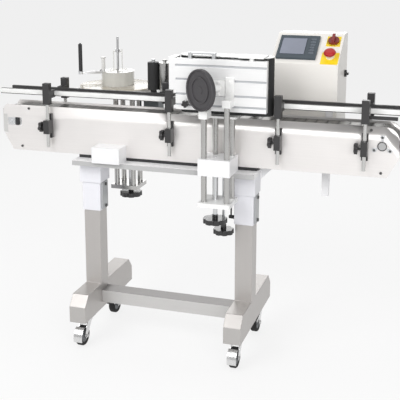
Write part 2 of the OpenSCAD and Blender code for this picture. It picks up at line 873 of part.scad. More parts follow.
module sprocket() difference() {
    rod_y(sprocket_r, -sprocket_w / 2, sprocket_w / 2);
    for (i = [0 : tooth_count - 1]) rotate([0, i * 360 / tooth_count, 0])
        translate([sprocket_r + tooth_cut_r / 3, 0, 0])
            rod_y(tooth_cut_r, -sprocket_w / 2 - over, sprocket_w / 2 + over);
}
module drive_shaft() color("Silver") at_stand() translate([drive_x, 0, shaft_z]) {
    rod_y(shaft_r, panel_front - bearing_h + shaft_short, panel_back + bearing_h + gear_d / 2);
    translate([0, chain_y, 0]) sprocket();
    rod_y(sprocket_hub_r, chain_y - chain_w / 2 + hub_in, chain_y + chain_w / 2 - hub_in);
}
module idler_shaft() color("Silver") at_stand() translate([idler_x, 0, shaft_z]) {
    rod_y(shaft_r, inner_front, panel_back + bearing_h + shaft_short);
    translate([0, chain_y, 0]) sprocket();
    rod_y(sprocket_hub_r, chain_y - chain_w / 2 + hub_in, chain_y + chain_w / 2 - hub_in);
}

// Hollow-shaft gearbox on the rear end of the drive shaft, with its motor pointing to the rear
module gearmotor() color("SlateGray") at_stand() translate([drive_x, panel_back, shaft_z]) {
    near = bearing_h + gear_gap;
    far = near + gear_d;
    difference() {
        union() {
            block([-gear_w / 2, near, -gear_down], [gear_w / 2, far, gear_up]);
            translate([0, 0, -motor_drop]) rod_y(motor_r, far, far + motor_len);
            block([-motor_r - motor_box_w, far + motor_len / 4, -motor_drop - motor_r / 2],
                  [0, far + motor_len * 0.7, -motor_drop + motor_r / 2]);
            for (x = [-gear_w / 2, gear_w / 2 - gear_foot])
                block([x, 0, -gear_down], [x + gear_foot, near + bite, -gear_down + gear_foot]);
        }
        rod_y(shaft_r + fit, near - over, far + over);
    }
}

// Black clamp blocks on the side panels, each with a knob on its left
module rail_clamp() difference() {
    union() {
        block([-clamp_w / 2, -clamp_d, clamp_z + clamp_h * 0.2], [clamp_w / 2, 0, clamp_z + clamp_h * 0.75]);
        block([-clamp_w / 2, -clamp_d / 3, clamp_z], [clamp_w / 2, 0, clamp_z + clamp_h]);
        translate([0, -rod_in, clamp_z + clamp_h * 0.45]) {
            rod_x(clamp_stem_r, -clamp_w / 2 - clamp_stem_len, -clamp_w / 2);
            translate([-clamp_w / 2 - clamp_stem_len - clamp_knob_t, 0, 0]) rotate([0, 90, 0])
                linear_extrude(clamp_knob_t) difference() {
                    circle(clamp_knob_r);
                    for (i = [0 : 4]) rotate(i * 72 + 36)
                        translate([clamp_knob_r + clamp_lobe_out, 0]) circle(clamp_lobe_r);
                }
        }
    }
    translate([0, -rod_in, 0]) rod_z(rod_r + gap, clamp_z - over, clamp_z + clamp_h + over);
}
module rail_clamps() color("DimGray") at_stand() {
    for (x = holder_xs) translate([x, panel_front, 0]) rail_clamp();
    for (x = rear_holder_xs) translate([x, panel_back, 0]) mirror([0, 1, 0]) rail_clamp();
}

// One holder: an upright rod in a clamp head that grips the rail, the rod on the Z axis
module rail_holder(reach) {
    rod_z(rod_r, clamp_z - rod_below, head_low + over);
    block([-head_w / 2, -head_wall, head_low], [head_w / 2, head_wall, head_top]);
    block([-head_w / 2, 0, rail_z - rail_h / 2 - jaw_t], [head_w / 2, reach, rail_z + rail_h / 2 + jaw_t]);
    for (z = [rail_z - rail_h / 2 - jaw_t, rail_z + rail_h / 2])
        block([-head_w / 2, 0, z], [head_w / 2, reach + rail_t / 2, z + jaw_t]);
}
module rail_bar(x1, x2, y, facing) difference() {
    block([x1, y, rail_z - rail_h / 2], [x2, y + rail_t, rail_z + rail_h / 2]);
    edge = facing > 0 ? y + rail_t - groove_d : y - over;
    block([x1 - over, edge, rail_z - rail_h / 4 - groove_h / 2],
          [x2 + over, edge + groove_d + over, rail_z - rail_h / 4 + groove_h / 2]);
}
module front_left_rail() color("LightGray") at_stand() {
    rail_bar(rail_left, holder_xs[1] + head_w / 2, front_rail_y, -1);
    for (x = [holder_xs[0], holder_xs[1]]) translate([x, holder_y, 0]) rail_holder(front_rail_y - holder_y);
}
module front_right_rail() color("LightGray") at_stand() {
    rail_bar(holder_xs[2] - head_w / 2, rail_right, front_rail_y, -1);
    for (x = [holder_xs[2], holder_xs[3]]) translate([x, holder_y, 0]) rail_holder(front_rail_y - holder_y);
    block([holder_xs[3], front_rail_y, rail_z - low_rail_drop - low_rail_h],
          [rail_right - low_rail_short, front_rail_y + rail_t, rail_z - low_rail_drop]);
    block([holder_xs[3] - head_w / 2, holder_y, rail_z - low_rail_drop - low_rail_h],
          [holder_xs[3] + head_w / 2, front_rail_y + rail_t, rail_z - low_rail_drop]);
}
module rear_rail() color("DimGray") at_stand() {
    rail_bar(rail_left + rear_rail_in, gate_left, rear_rail_y, 1);
    rail_bar(gate_right, rail_right, rear_rail_y, 1);
    for (x = rear_holder_xs) translate([x, rear_holder_y, 0]) mirror([0, 1, 0])
        rail_holder(rear_holder_y - rear_rail_y - rail_t);
}

// Block that slides on the base plate and guides the posts of the wrap unit
module guide_block() color("White") at_stand() {
    difference() {
        union() {
            block([lift_x - lift_w / 2, lift_front, base_z + gap],
                  [lift_x + lift_w / 2, lift_back, base_z + gap + lift_h]);
            for (x = [keel_x - keel_half + gap, keel_x + keel_half - gap - keel_w])
                block([x, lift_back - keel_len - keel_w, base_under - gap - gib_t],
                      [x + keel_w, lift_back - keel_w, base_z + gap + bite]);
            block([keel_x - gib_half, lift_back - keel_len - keel_w, base_under - gap - gib_t],
                  [keel_x + gib_half, lift_back - keel_w, base_under - gap]);
        }
        for (place = post_places) translate([place[0], place[1], base_z])
            rod_z(lift_post_r + gap, -over, lift_h + over);
        translate([screw_x, screw_y, base_z]) rod_z(screw_r + gap, -base_h - over, lift_h + over);
        translate([cross_x, cross_y, base_z]) rod_z(cross_rod_r + gap, -base_h - over, lift_h + over);
    }
}

// Four chrome posts, the plate that ties them below and the brackets that carry the wrap unit
module lift_posts() color("Silver") at_stand() {
    for (place = post_places) translate([place[0], place[1], 0])
        rod_z(lift_post_r, lift_plate_z, place[1] == lift_post_y1 ? front_post_top : rear_post_top);
    difference() {
        block([lift_x - lift_w / 2, lift_front, lift_plate_z],
              [lift_x + lift_w / 2, lift_back, lift_plate_z + lift_plate_t]);
        translate([screw_x, screw_y, lift_plate_z]) rod_z(screw_r + fit, -over, lift_plate_t + over);
        translate([cross_x, cross_y, lift_plate_z]) rod_z(cross_rod_r + fit, -over, lift_plate_t + over);
    }
    for (x = lift_xs) {
        top = x < lift_x ? front_post_top - saddle_drop : front_post_top;
        block([x - bracket_w / 2, lift_post_y1 - lift_post_r - bracket_t / 2, top - saddle_h],
              [x + bracket_w / 2, wrap_front, top]);
    }
    block([lift_x - lift_w / 2, lift_post_y2 - lift_post_r, carrier_z],
          [lift_x + lift_w / 2, belt_y + frame_half / 2, carrier_z + carrier_t]);
    block([lift_xs[1] - bracket_w / 2, wrap_front - bracket_t, front_post_top],
          [lift_xs[1] + bracket_w / 2, wrap_front, front_post_top + bracket_h]);
    for (z = [0.25, 0.75]) translate([lift_xs[1], wrap_front - bracket_t, front_post_top + z * bracket_h])
        rotate([90, 0, 0]) hex_z(m8_head_r, m8_head_h);
}

// Ribbed aluminium panel facing the operator, with the strip at its left end
module wrap_panel() color("Silver") at_stand() {
    difference() {
        block([wrap_left, wrap_front, wrap_z], [wrap_left + wrap_len, wrap_front + wrap_t, wrap_z + wrap_h]);
        for (share = rib_shares)
            block([wrap_left - over, wrap_front - over, wrap_z + share * wrap_h - rib_h / 2],
                  [wrap_left + wrap_len + over, wrap_front + rib_d, wrap_z + share * wrap_h + rib_h / 2]);
    }
    strip_top = belt_z + belt_h;
    block([wrap_left - end_strip_w, wrap_front, strip_top - end_strip_h],
          [wrap_left, wrap_front + wrap_t, strip_top]);
    block([wrap_left - end_strip_w, wrap_front, strip_top - end_strip_h],
          [wrap_left - end_strip_t, wrap_front + end_strip_d, strip_top]);
}

// Decks and pillars inside the belt loop, and the strap over the belt that holds the ribbed panel
module wrap_frame() color("Gainsboro") at_stand() difference() {
    union() {
        for (z = [deck_low_z, deck_top_z]) translate([0, 0, z]) linear_extrude(frame_t) {
            for (x = [belt_x1, belt_x2]) translate([x, belt_y]) circle(frame_half);
            translate([belt_x1, belt_y - frame_half]) square([belt_x2 - belt_x1, 2 * frame_half]);
        }
        for (x = pillar_xs) translate([x, belt_y, 0]) rod_z(pillar_r, deck_low_z + bite, deck_top_z + bite);
        translate([strap_x, belt_y, 0]) rod_z(pillar_r, deck_top_z + frame_t - bite, strap_z + bite);
        translate([strap_x, wrap_front + wrap_t / 2, 0]) rod_z(pillar_r, wrap_z + wrap_h, strap_z + bite);
        block([strap_x - strap_w / 2, wrap_front, strap_z],
              [strap_x + strap_w / 2, belt_y + frame_half / 2, strap_z + strap_t]);
        translate([0, 0, belt_z + belt_h + cover_gap]) linear_extrude(cover_t) belt_outline(roller_r + belt_t);
        block([lift_x - lift_w / 2, belt_y - frame_half / 2, carrier_z + carrier_t],
              [lift_x + lift_w / 2, belt_y + frame_half / 2, deck_low_z + bite]);
    }
    for (x = [belt_x1, belt_x2]) translate([x, belt_y, 0])
        rod_z(roller_shaft_r + fit, deck_low_z - over, deck_top_z + frame_t + cover_gap);
}

module belt_outline(r) {
    for (x = [belt_x1, belt_x2]) translate([x, belt_y]) circle(r, $fn = 96);
    translate([belt_x1, belt_y - r]) square([belt_x2 - belt_x1, 2 * r]);
}
module wrap_belt() color("DimGray") at_stand() translate([0, 0, belt_z]) linear_extrude(belt_h) difference() {
    belt_outline(roller_r + belt_t);
    belt_outline(roller_r);
}

// A belt roller with its shaft in the two decks, the shaft on the Z axis
module belt_roller() {
    rod_z(roller_shaft_r, deck_low_z - room, deck_top_z + frame_t + room);
    rod_z(roller_r - gap, deck_low_z + frame_t + gap, deck_top_z - gap);
}
module wrap_drive_roller() color("Gray") at_stand() translate([belt_x1, belt_y, 0]) belt_roller();
module wrap_idler_roller() color("Gray") at_stand() translate([belt_x2, belt_y, 0]) belt_roller();

module wrap_motor() color("SlateGray") at_stand() translate([motor_x, belt_y, 0]) {
    rod_z(wrap_motor_r, deck_top_z - wrap_motor_len, deck_top_z);
    rod_z(wrap_motor_r / 2, deck_top_z - wrap_motor_len - wrap_motor_neck, deck_top_z - wrap_motor_len);
    block([-wrap_motor_r, -wrap_motor_r, deck_top_z - frame_t], [wrap_motor_r, wrap_motor_r, deck_top_z]);
}

// Bail handle on top of the ribbed panel and the small star knob on its face
module wrap_handles() color("DimGray") at_stand() {
    top = wrap_z + wrap_h;
    difference() {
        block([bail_x, wrap_front + bail_back, top],
              [bail_x + bail_w, wrap_front + bail_back + bail_d, top + bail_h + bail_t]);
        block([bail_x + bail_t * 2, wrap_front, top - over],
              [bail_x + bail_w - bail_t * 2, wrap_front + wrap_t, top + bail_h]);
    }
    translate([wrap_left + star_x, wrap_front - star_len, wrap_z + star_rise]) {
        rod_y(star_r / 3, 0, star_len);
        translate([0, star_len * 0.6, 0]) rotate([90, 0, 0]) linear_extrude(star_len * 0.6) difference() {
            circle(star_r);
            for (i = [0 : 4]) rotate(i * 72 + 18) translate([star_r + lobe_out, 0]) circle(star_r / 2.5);
        }
    }
}

module lift_wheel() color("DimGray") at_stand() translate([screw_x, screw_y, hand_z]) {
    lobed_wheel(hand_r, hand_t, hand_t * 0.8);
    rod_z(screw_r, 0, base_z + lift_h - screw_short - hand_z);
}
module cross_wheel() color("DimGray") at_stand() translate([cross_x, cross_y, cross_hand_z]) {
    lobed_wheel(cross_hand_r, hand_t, hand_t);
    rod_z(cross_rod_r, 0, base_z + lift_h - screw_short - cross_hand_z);
}

module at_dial() translate([dial_x, dial_y, dial_z]) rotate([0, 0, -dial_turn]) children();

// Black dished wheel in front of the wrap unit, turned aside; its axis is the local Y axis
module black_wheel() color("Black") at_stand() at_dial() {
    rotate([-90, 0, 0]) translate([0, 0, -dial_t / 2]) rotate_extrude($fn = 96) polygon([
        [0, dial_dish - dial_round], [dial_hub_r, dial_dish - dial_round], [dial_hub_r, dial_dish],
        [dial_ring_r - dial_ring_w, dial_dish], [dial_ring_r - dial_ring_w, dial_dish / 3],
        [dial_ring_r, dial_dish / 3], [dial_ring_r, dial_dish], [dial_r - dial_ring_w, dial_dish],
        [dial_r - dial_ring_w, dial_round], [dial_r - dial_round, 0], [dial_r, dial_round],
        [dial_r, dial_t - dial_round], [dial_r - dial_round, dial_t], [dial_hub_r, dial_t], [0, dial_t]
    ]);
    rod_y(dial_shaft_r, dial_t / 2 - bite, dial_shaft_end);
}

// Turned boss that carries the black wheel, on a foot screwed to the ribbed panel
module wheel_bracket() color("Silver") at_stand() difference() {
    union() {
        at_dial() rod_y(boss_r, dial_t / 2 + gap, dial_t / 2 + boss_len);
        translate([boss_x, wrap_front - foot_plate_t, dial_z])
            block([-foot_plate_w / 2, 0, -foot_plate_h / 2],
                  [foot_plate_w / 2, foot_plate_t, foot_plate_h / 2]);
        for (z = [-0.36, 0.36]) translate([boss_x, wrap_front - foot_plate_t, dial_z + z * foot_plate_h])
            rotate([90, 0, 0]) hex_z(m6_head_r, m6_head_h);
    }
    at_dial() rod_y(dial_shaft_r + fit, 0, dial_shaft_end + gap);
    block([boss_x - dial_r, wrap_front, dial_z - foot_plate_h],
          [boss_x + dial_r, wrap_front + 2 * wrap_t, dial_z + foot_plate_h]);
}

module head_block() color("Gainsboro") at_stand() difference() {
    block([head_x - head_w_plate / 2, head_y - head_d_plate / 2, base_z],
          [head_x + head_w_plate / 2, head_y + head_d_plate / 2, base_z + lift_h]);
    for (x = column_xs, y = column_ys) translate([x, y, base_z]) rod_z(column_r + gap, -over, lift_h + over);
    translate([head_screw_x, head_y, base_z]) rod_z(screw_r + gap, -over, lift_h + over);
}

module head_column() color("Silver") at_stand() {
    for (x = column_xs, y = column_ys) translate([x, y, 0]) rod_z(column_r, head_plate_z, head_z);
    difference() {
        block([head_x - head_w_plate / 2, head_y - head_d_plate / 2, head_plate_z],
              [head_x + head_w_plate / 2, head_y + head_d_plate / 2, head_plate_z + lift_plate_t]);
        translate([head_screw_x, head_y, head_plate_z]) rod_z(screw_r + fit, -over, lift_plate_t + over);
    }
}

module head_wheel() color("DimGray") at_stand() translate([head_screw_x, head_y, head_hand_z]) {
    lobed_wheel(hand_r, hand_t, hand_t * 0.8);
    rod_z(screw_r, 0, base_z + lift_h - screw_short - head_hand_z);
}

// Plate of the label head with its fixed guide posts
module head_plate() color("Gainsboro") at_stand() {
    difference() {
        translate([0, 0, head_z]) linear_extrude(head_t) polygon([
            [head_left, head_front + head_nip], [head_left + head_nip, head_front],
            [head_right - head_nip, head_front], [head_right, head_front + head_nip],
            [head_right, feed_y + head_nip * 2], [reel_x + platter_r, head_back], [head_left, head_back]
        ]);
        for (p = [[reel_x, reel_y], [feed_x, feed_y], [chrome_x, feed_y]]) translate([p[0], p[1], 0])
            rod_z(spindle_r + fit, head_z - over, head_top_z + over);
    }
    translate([pivot_x, pivot_y, 0]) {
        rod_z(guide_r, head_top_z, head_top_z + guide_len);
        rod_z(guide_r * 1.8, head_top_z, head_top_z + guide_foot_h);
        rod_z(guide_r * 1.4, head_top_z + guide_len - guide_cap_h, head_top_z + guide_len);
    }
    translate([reel_x + small_guide_x, head_back - small_guide_y, 0]) {
        rod_z(guide_r * 0.7, head_top_z, head_top_z + guide_len * 0.8);
        rod_z(guide_r * 1.5, head_top_z, head_top_z + guide_foot_h * 2 / 3);
    }
}

module supply_platter() color("Wheat") at_stand() translate([reel_x, reel_y, 0]) {
    translate([0, 0, platter_z]) cylinder(r = platter_r, h = platter_t, $fn = 128);
    rod_z(platter_hub_r, head_top_z + gap, platter_z + bite);
    rod_z(spindle_r, head_z - spindle_out, platter_z + bite);
}

// Drum that fills the core of the label roll, with its spindle, collar, fingers and rods
module core_holder() color("Ivory") at_stand() translate([reel_x, reel_y, platter_z + platter_t]) {
    difference() {
        rod_z(core_r, 0, core_h);
        rod_z(core_r - core_wall, -over, core_h - core_wall);
        for (i = [0 : 5]) rotate(i * 60) translate([core_r * 0.6, 0, 0])
            rod_z(core_r / 6, core_h - core_wall - over, core_h + over);
    }
    rod_z(mandrel_r * 2.4, 0, core_h - core_wall + bite);
    rod_z(mandrel_r, 0, mandrel_h);
    rod_z(mandrel_r * 2, mandrel_h * 0.68, mandrel_h * 0.74);
    for (side = [-1, 1]) translate([side * finger_in, 0, 0])
        rod_z(finger_r / 2, core_h - core_wall, mandrel_h * (0.72 + side * 0.03));
    block([-finger_in, -finger_r / 2, mandrel_h * 0.685], [finger_in, finger_r / 2, mandrel_h * 0.705]);
}

// Arm on the left guide post that carries the dancer roller
module dancer_arm() color("DimGray") at_stand() translate([pivot_x, pivot_y, head_top_z + arm_rise]) {
    length = sqrt(dancer_dx * dancer_dx + dancer_dy * dancer_dy);
    difference() {
        union() {
            rod_z(arm_w, 0, arm_t + arm_rim);
            rotate(atan2(dancer_dy, dancer_dx)) block([0, -arm_w / 2, 0], [length, arm_w / 2, arm_t]);
            translate([dancer_dx, dancer_dy, 0]) rod_z(arm_w * 0.7, 0, arm_t + arm_rim / 2);
        }
        rod_z(guide_r + fit, -over, arm_t + arm_rim + over);
    }
    translate([dancer_dx, dancer_dy, 0]) {
        rod_z(dancer_r / 2, arm_t, arm_t + dancer_len + arm_rim);
        rod_z(dancer_r, arm_t + arm_rim, arm_t + dancer_len);
    }
}

// A feed roller with its shaft in the head plate, the shaft on the Z axis
module feed_roller(r, cap) {
    top = feed_z + feed_len;
    rod_z(spindle_r, head_z + bite, feed_z + bite);
    rod_z(spindle_r * 2, head_top_z + gap, feed_z + bite);
    rod_z(r, feed_z, top);
    rod_z(spindle_r, top - bite, top + feed_cap);
    rod_z(cap, top + feed_cap - bite, top + 2 * feed_cap - room);
}
module rubber_roller() color("DimGray") at_stand()
    translate([feed_x, feed_y, 0]) feed_roller(feed_r, spindle_r * 1.3);
module chrome_roller() color("Silver") at_stand()
    translate([chrome_x, feed_y, 0]) feed_roller(chrome_r, spindle_r * 1.6);

// Blade that peels the labels off their backing at the gap in the rear rail, with its arm
module peel_plate() color("Silver") at_stand() {
    translate([0, 0, head_top_z]) linear_extrude(peel_h) polygon([
        [head_right - peel_arm_l, head_front + peel_arm_w - peel_t],
        [head_right - peel_arm_l + peel_t, head_front + peel_arm_w],
        [peel_x + peel_nose, peel_y + peel_nose / 3], [peel_x, peel_y]
    ]);
    block([head_right - peel_foot_l, head_front + peel_foot_in, head_top_z],
          [head_right - peel_arm_l + peel_t, head_front + peel_foot_w, head_top_z + peel_foot_h]);
}

module head_motor() color("SlateGray") at_stand() {
    top = head_z - head_motor_drop;
    block([feed_x - motor_w / 2, feed_y - motor_w / 2, head_z - motor_h],
          [feed_x + motor_w / 2, feed_y + motor_w / 2, top]);
    for (x = [-1, 1], y = [-1, 1]) translate([feed_x + x * motor_w * 0.38, feed_y + y * motor_w * 0.38, 0])
        rod_z(m8_r, top - bite, head_z);
}

// Side outline of the control box; turned up so that its flat lies across the machine
module box_outline(inset) polygon([
    [box_front + inset, box_z + inset], [box_front + inset, fold_z - inset * 0.3],
    [box_front + slope_depth + inset * 0.3, fold_z + slope_rise - inset],
    [box_back - inset, fold_z + slope_rise - inset], [box_back - inset, box_z + inset]
]);
module at_slope(x, up)
    translate([x, box_front, fold_z]) rotate([slope_turn, 0, 0]) translate([0, up, 0]) children();

module control_box() color("Beige") at_stand() {
    difference() {
        translate([box_left, 0, 0]) rotate([90, 0, 90]) linear_extrude(box_w) box_outline(0);
        translate([box_left + box_sheet, 0, 0]) rotate([90, 0, 90])
            linear_extrude(box_w - 2 * box_sheet) box_outline(box_sheet);
        at_slope(screen_x, screen_up) block([screen_rim, screen_rim, -3 * box_sheet],
                                            [screen_w - screen_rim, screen_h - screen_rim, over]);
        at_slope(switch_x, stop_up) rod_z(stop_stem_r + fit, -3 * box_sheet, over);
        at_slope(switch_x, main_up) rod_z(switch_stem_r + fit, -3 * box_sheet, over);
        translate([0, latch_y, latch_z]) rod_x(latch_stem_r + fit, box_right - 3 * box_sheet, box_right + over);
    }
    for (up = [stop_up, main_up]) at_slope(switch_x, up) difference() {
        union() {
            rod_z(plate_r, 0, switch_plate_t);
            if (up == stop_up) rod_z(collar_r, 0, collar_t);
        }
        rod_z((up == stop_up ? stop_stem_r : switch_stem_r) + fit, -over, collar_t + over);
    }
}

module touch_panel() color("DimGray") at_stand() at_slope(screen_x, screen_up) difference() {
    union() {
        block([0, 0, 0], [screen_w, screen_h, screen_t]);
        block([screen_rim + gap, screen_rim + gap, -screen_deep],
              [screen_w - screen_rim - gap, screen_h - screen_rim - gap, bite]);
    }
    block([screen_w * 0.06, screen_h * 0.16, screen_t - screen_dish],
          [screen_w * 0.7, screen_h * 0.88, screen_t + over]);
}

module stop_button() color("Red") at_stand() at_slope(switch_x, stop_up) {
    low = collar_t + stop_travel;
    rod_z(stop_stem_r, -stop_stem_in, low + bite);
    rotate_extrude() polygon([
        [0, low], [stop_r - stop_edge, low], [stop_r, low + stop_round],
        [stop_r - stop_edge, low + stop_cap_h - stop_round], [stop_r / 2, low + stop_cap_h],
        [0, low + stop_cap_h]
    ]);
}

module main_switch() color("Red") at_stand() at_slope(switch_x, main_up) {
    low = switch_plate_t + gap;
    rod_z(switch_stem_r, -stop_stem_in, low + bite);
    rod_z(switch_dial_r, low, low + switch_disc_t);
    block([-switch_dial_r / 4, -switch_dial_r, low + switch_disc_t - bite],
          [switch_dial_r / 4, switch_dial_r, low + switch_disc_t + switch_grip_h - bite]);
}

module box_latch() color("DimGray") at_stand() translate([0, latch_y, latch_z]) {
    rod_x(latch_stem_r, box_right - 2 * latch_t, box_right + latch_t / 2);
    rod_x(latch_r, box_right + gap, box_right + latch_t);
    block([box_right + latch_t - bite, -latch_r * 0.8, -latch_r * 0.35],
          [box_right + latch_t - bite + latch_grip, latch_r * 0.8, latch_r * 0.35]);
}

// Two channels between the rear panel and the control box; the right one reaches down below the conveyor
module box_bracket() color("WhiteSmoke") at_stand() for (right = [false, true]) {
    x = right ? box_right - bracket_right_in : box_left + bracket_in;
    low = right ? base_z - bracket_low_drop : panel_z + bracket_rise;
    high = bed_z - bracket_top_drop;
    block([x, panel_back, low], [x + bracket_wide, panel_back + base_sheet, high]);
    block([x, panel_back, box_z + bracket_box_up], [x + base_sheet, box_front, high]);
    block([x, box_front - base_sheet, box_z + bracket_box_up],
          [x + bracket_wide, box_front, bed_z + bracket_box_up]);
    if (right) translate([x + bracket_wide, 0, 0]) rotate([90, 0, -90]) linear_extrude(base_sheet) polygon([
        [-panel_back - room, high], [-panel_back - room, low], [-panel_back - bracket_step, low],
        [-box_front, box_z], [-box_front, high]
    ]);
}

function turned(i) =
    let (before = cable_path[max(i - 1, 0)], after = cable_path[min(i + 1, len(cable_path) - 1)])
    atan2(after[0] - before[0], before[1] - after[1]);
function ring_point(i, k) = let (a = turned(i), side = cable_r * cos(k * 360 / cable_sides))
    [cable_path[i][0] + side * cos(a), cable_r * sin(k * 360 / cable_sides), cable_path[i][1] + side * sin(a)];

// Black cable hanging beside the right leg, one tube along its route
module leg_cable() color("Black") at_stand() translate([leg_x, post_y - cable_in, base_under]) {
    last = len(cable_path) - 1;
    polyhedron(
        points = [for (i = [0 : last], k = [0 : cable_sides - 1]) ring_point(i, k)],
        faces = concat(
            [for (i = [0 : last - 1], k = [0 : cable_sides - 1], t = [0, 1]) let (n = (k + 1) % cable_sides)
                t == 0
                    ? [i * cable_sides + k, i * cable_sides + n, (i + 1) * cable_sides + n]
                    : [i * cable_sides + k, (i + 1) * cable_sides + n, (i + 1) * cable_sides + k]],
            [[for (k = [cable_sides - 1 : -1 : 0]) k], [for (k = [0 : cable_sides - 1]) last * cable_sides + k]]
        )
    );
}

left_leg();
right_leg();
crossbar();
caster_plates();
fork_front_left();
fork_front_right();
fork_rear_left();
fork_rear_right();
wheel_front_left();
wheel_front_right();
wheel_rear_left();
wheel_rear_right();
leg_sleeves();
leg_clamps();
base_plate();
front_box();
front_panel();
rear_panel();
conveyor_spacers();
slat_chain();
chain_bed();
shaft_bearings();
drive_shaft();
idler_shaft();
gearmotor();
rail_clamps();
front_left_rail();
front_right_rail();
rear_rail();
guide_block();
lift_posts();
wrap_panel();
wrap_frame();
wrap_belt();
wrap_drive_roller();
wrap_idler_roller();
wrap_motor();
wrap_handles();
lift_wheel();
cross_wheel();
black_wheel();
wheel_bracket();
head_block();
head_column();
head_plate();
supply_platter();
core_holder();
dancer_arm();
rubber_roller();
chrome_roller();
peel_plate();
head_motor();
head_wheel();
control_box();
box_bracket();
touch_panel();
leg_cable();
stop_button();
main_switch();
box_latch();
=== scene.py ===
import json
import math

import bpy
from mathutils import Matrix, Vector


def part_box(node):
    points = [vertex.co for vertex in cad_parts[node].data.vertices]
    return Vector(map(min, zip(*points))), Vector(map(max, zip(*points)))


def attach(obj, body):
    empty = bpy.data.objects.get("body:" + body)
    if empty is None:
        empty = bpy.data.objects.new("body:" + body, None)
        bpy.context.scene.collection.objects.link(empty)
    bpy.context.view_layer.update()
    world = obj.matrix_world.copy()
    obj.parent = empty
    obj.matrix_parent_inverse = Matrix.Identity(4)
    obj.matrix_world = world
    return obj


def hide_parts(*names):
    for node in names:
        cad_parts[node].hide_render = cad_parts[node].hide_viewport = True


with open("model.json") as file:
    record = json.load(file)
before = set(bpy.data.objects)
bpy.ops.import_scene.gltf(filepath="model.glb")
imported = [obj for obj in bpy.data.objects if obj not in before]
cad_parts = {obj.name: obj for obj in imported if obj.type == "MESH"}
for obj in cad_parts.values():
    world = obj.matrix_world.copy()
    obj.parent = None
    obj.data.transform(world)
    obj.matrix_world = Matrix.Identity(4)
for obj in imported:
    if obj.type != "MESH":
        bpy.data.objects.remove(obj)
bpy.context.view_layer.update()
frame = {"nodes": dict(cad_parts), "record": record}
nodes = frame["nodes"]
print("frame loaded:", len(nodes), "nodes")

standShift = Vector((-0.079, -0.052, 0.0))  # from the middle between the feet to the part's origin


# Camera and light

camera = {
    "place": (1.0340, -2.9361, 1.4788),  # seen from the middle between the feet
    "yaw": 0.30585,
    "pitch": 0.2021,
    "lens": 77.858,
    "shiftY": -0.2,
    "sensor": 36.0,
    "farEnd": 60.0,
}

lamps = [  # name, place, target, width, height, power
    ("keyLamp", (-1.6, -2.9, 2.9), (0.0, 0.0, 0.7), 2.2, 2.2, 74.0),
    ("fillLamp", (1.9, -2.9, 1.9), (0.2, 0.0, 0.8), 2.0, 2.4, 60.0),
    ("topLamp", (0.2, 0.6, 3.4), (0.1, 0.0, 0.6), 3.0, 2.0, 12.0),
    ("backLamp", (-0.8, 3.2, 2.2), (0.0, 0.0, 0.8), 2.4, 1.6, 30.0),
]


def addCamera():
    data = bpy.data.cameras.new("photoCamera")
    data.sensor_width = camera["sensor"]
    data.lens = camera["lens"]
    data.shift_y = camera["shiftY"]
    data.clip_end = camera["farEnd"]
    view = bpy.data.objects.new("photoCamera", data)
    bpy.context.scene.collection.objects.link(view)
    view.location = Vector(camera["place"]) + standShift
    view.rotation_euler = (math.pi / 2 - camera["pitch"], 0.0, camera["yaw"])
    bpy.context.scene.camera = view


def addLamps():
    for name, place, target, width, height, power in lamps:
        data = bpy.data.lights.new(name, "AREA")
        data.shape = "RECTANGLE"
        data.size = width
        data.size_y = height
        data.energy = power
        lamp = bpy.data.objects.new(name, data)
        bpy.context.scene.collection.objects.link(lamp)
        lamp.location = place
        way = Vector(target) - Vector(place)
        lamp.rotation_euler = way.to_track_quat("-Z", "Y").to_euler()


# Shader nodes as sums and products

class Wire:  # one output socket, with the operators that the finishes use
    def __init__(self, finish, socket):
        self.finish = finish
        self.socket = socket

    def math(self, operation, *values):
        return self.finish.node("Math", {"operation": operation}, dict(enumerate(values)))

    def __add__(self, other):
        return self.math("ADD", self, other)

    def __radd__(self, other):
        return self.math("ADD", other, self)

    def __sub__(self, other):
        return self.math("SUBTRACT", self, other)

    def __rsub__(self, other):
        return self.math("SUBTRACT", other, self)

    def __mul__(self, other):
        return self.math("MULTIPLY", self, other)

    def step(self, low, high):  # 0 below low, 1 above high, smooth between
        settings = {"interpolation_type": "SMOOTHSTEP"}
        return self.finish.node("MapRange", settings, {0: self, 1: low, 2: high})


class Finish:  # one material and the calls that build it
    def __init__(self, name):
        self.material = bpy.data.materials.new(name)
        self.material.use_nodes = True
        self.tree = self.material.node_tree
        self.tree.nodes.clear()

    def node(self, kind, settings=None, inputs=None, output=0):
        made = self.tree.nodes.new("ShaderNode" + kind)
        for key, value in (settings or {}).items():
            setattr(made, key, value)
        for key, value in (inputs or {}).items():
            if isinstance(value, Wire):
                self.tree.links.new(value.socket, made.inputs[key])
            else:
                made.inputs[key].default_value = value
        return Wire(self, made.outputs[output])

    def place(self, stretch=(1.0, 1.0, 1.0)):  # object coordinates, stretched per axis
        where = self.node("TexCoord", output="Object")
        return self.node("VectorMath", {"operation": "MULTIPLY"}, {0: where, 1: stretch})

    def noise(self, stretch, scale=1.0, detail=3.0, rough=0.5):
        return self.node("TexNoise", None, {
            "Vector": self.place(stretch), "Scale": scale, "Detail": detail, "Roughness": rough,
        })

    def blend(self, factor, low, high):  # a colour between two colours
        return self.node("Mix", {"data_type": "RGBA"}, {0: factor, 6: low, 7: high}, output=2)

    def bump(self, height, strength, depth):
        return self.node("Bump", None, {"Height": height, "Strength": strength, "Distance": depth})

    def shade(self, inputs):
        return self.show(self.node("BsdfPrincipled", None, inputs))

    def show(self, surface):
        end = self.tree.nodes.new("ShaderNodeOutputMaterial")
        self.tree.links.new(surface.socket, end.inputs["Surface"])
        return self.material


even = (1.0, 1.0, 1.0)  # a pattern that is the same along each axis


def tone(red, green, blue, gain=1.0):
    return (red * gain, green * gain, blue * gain, 1.0)


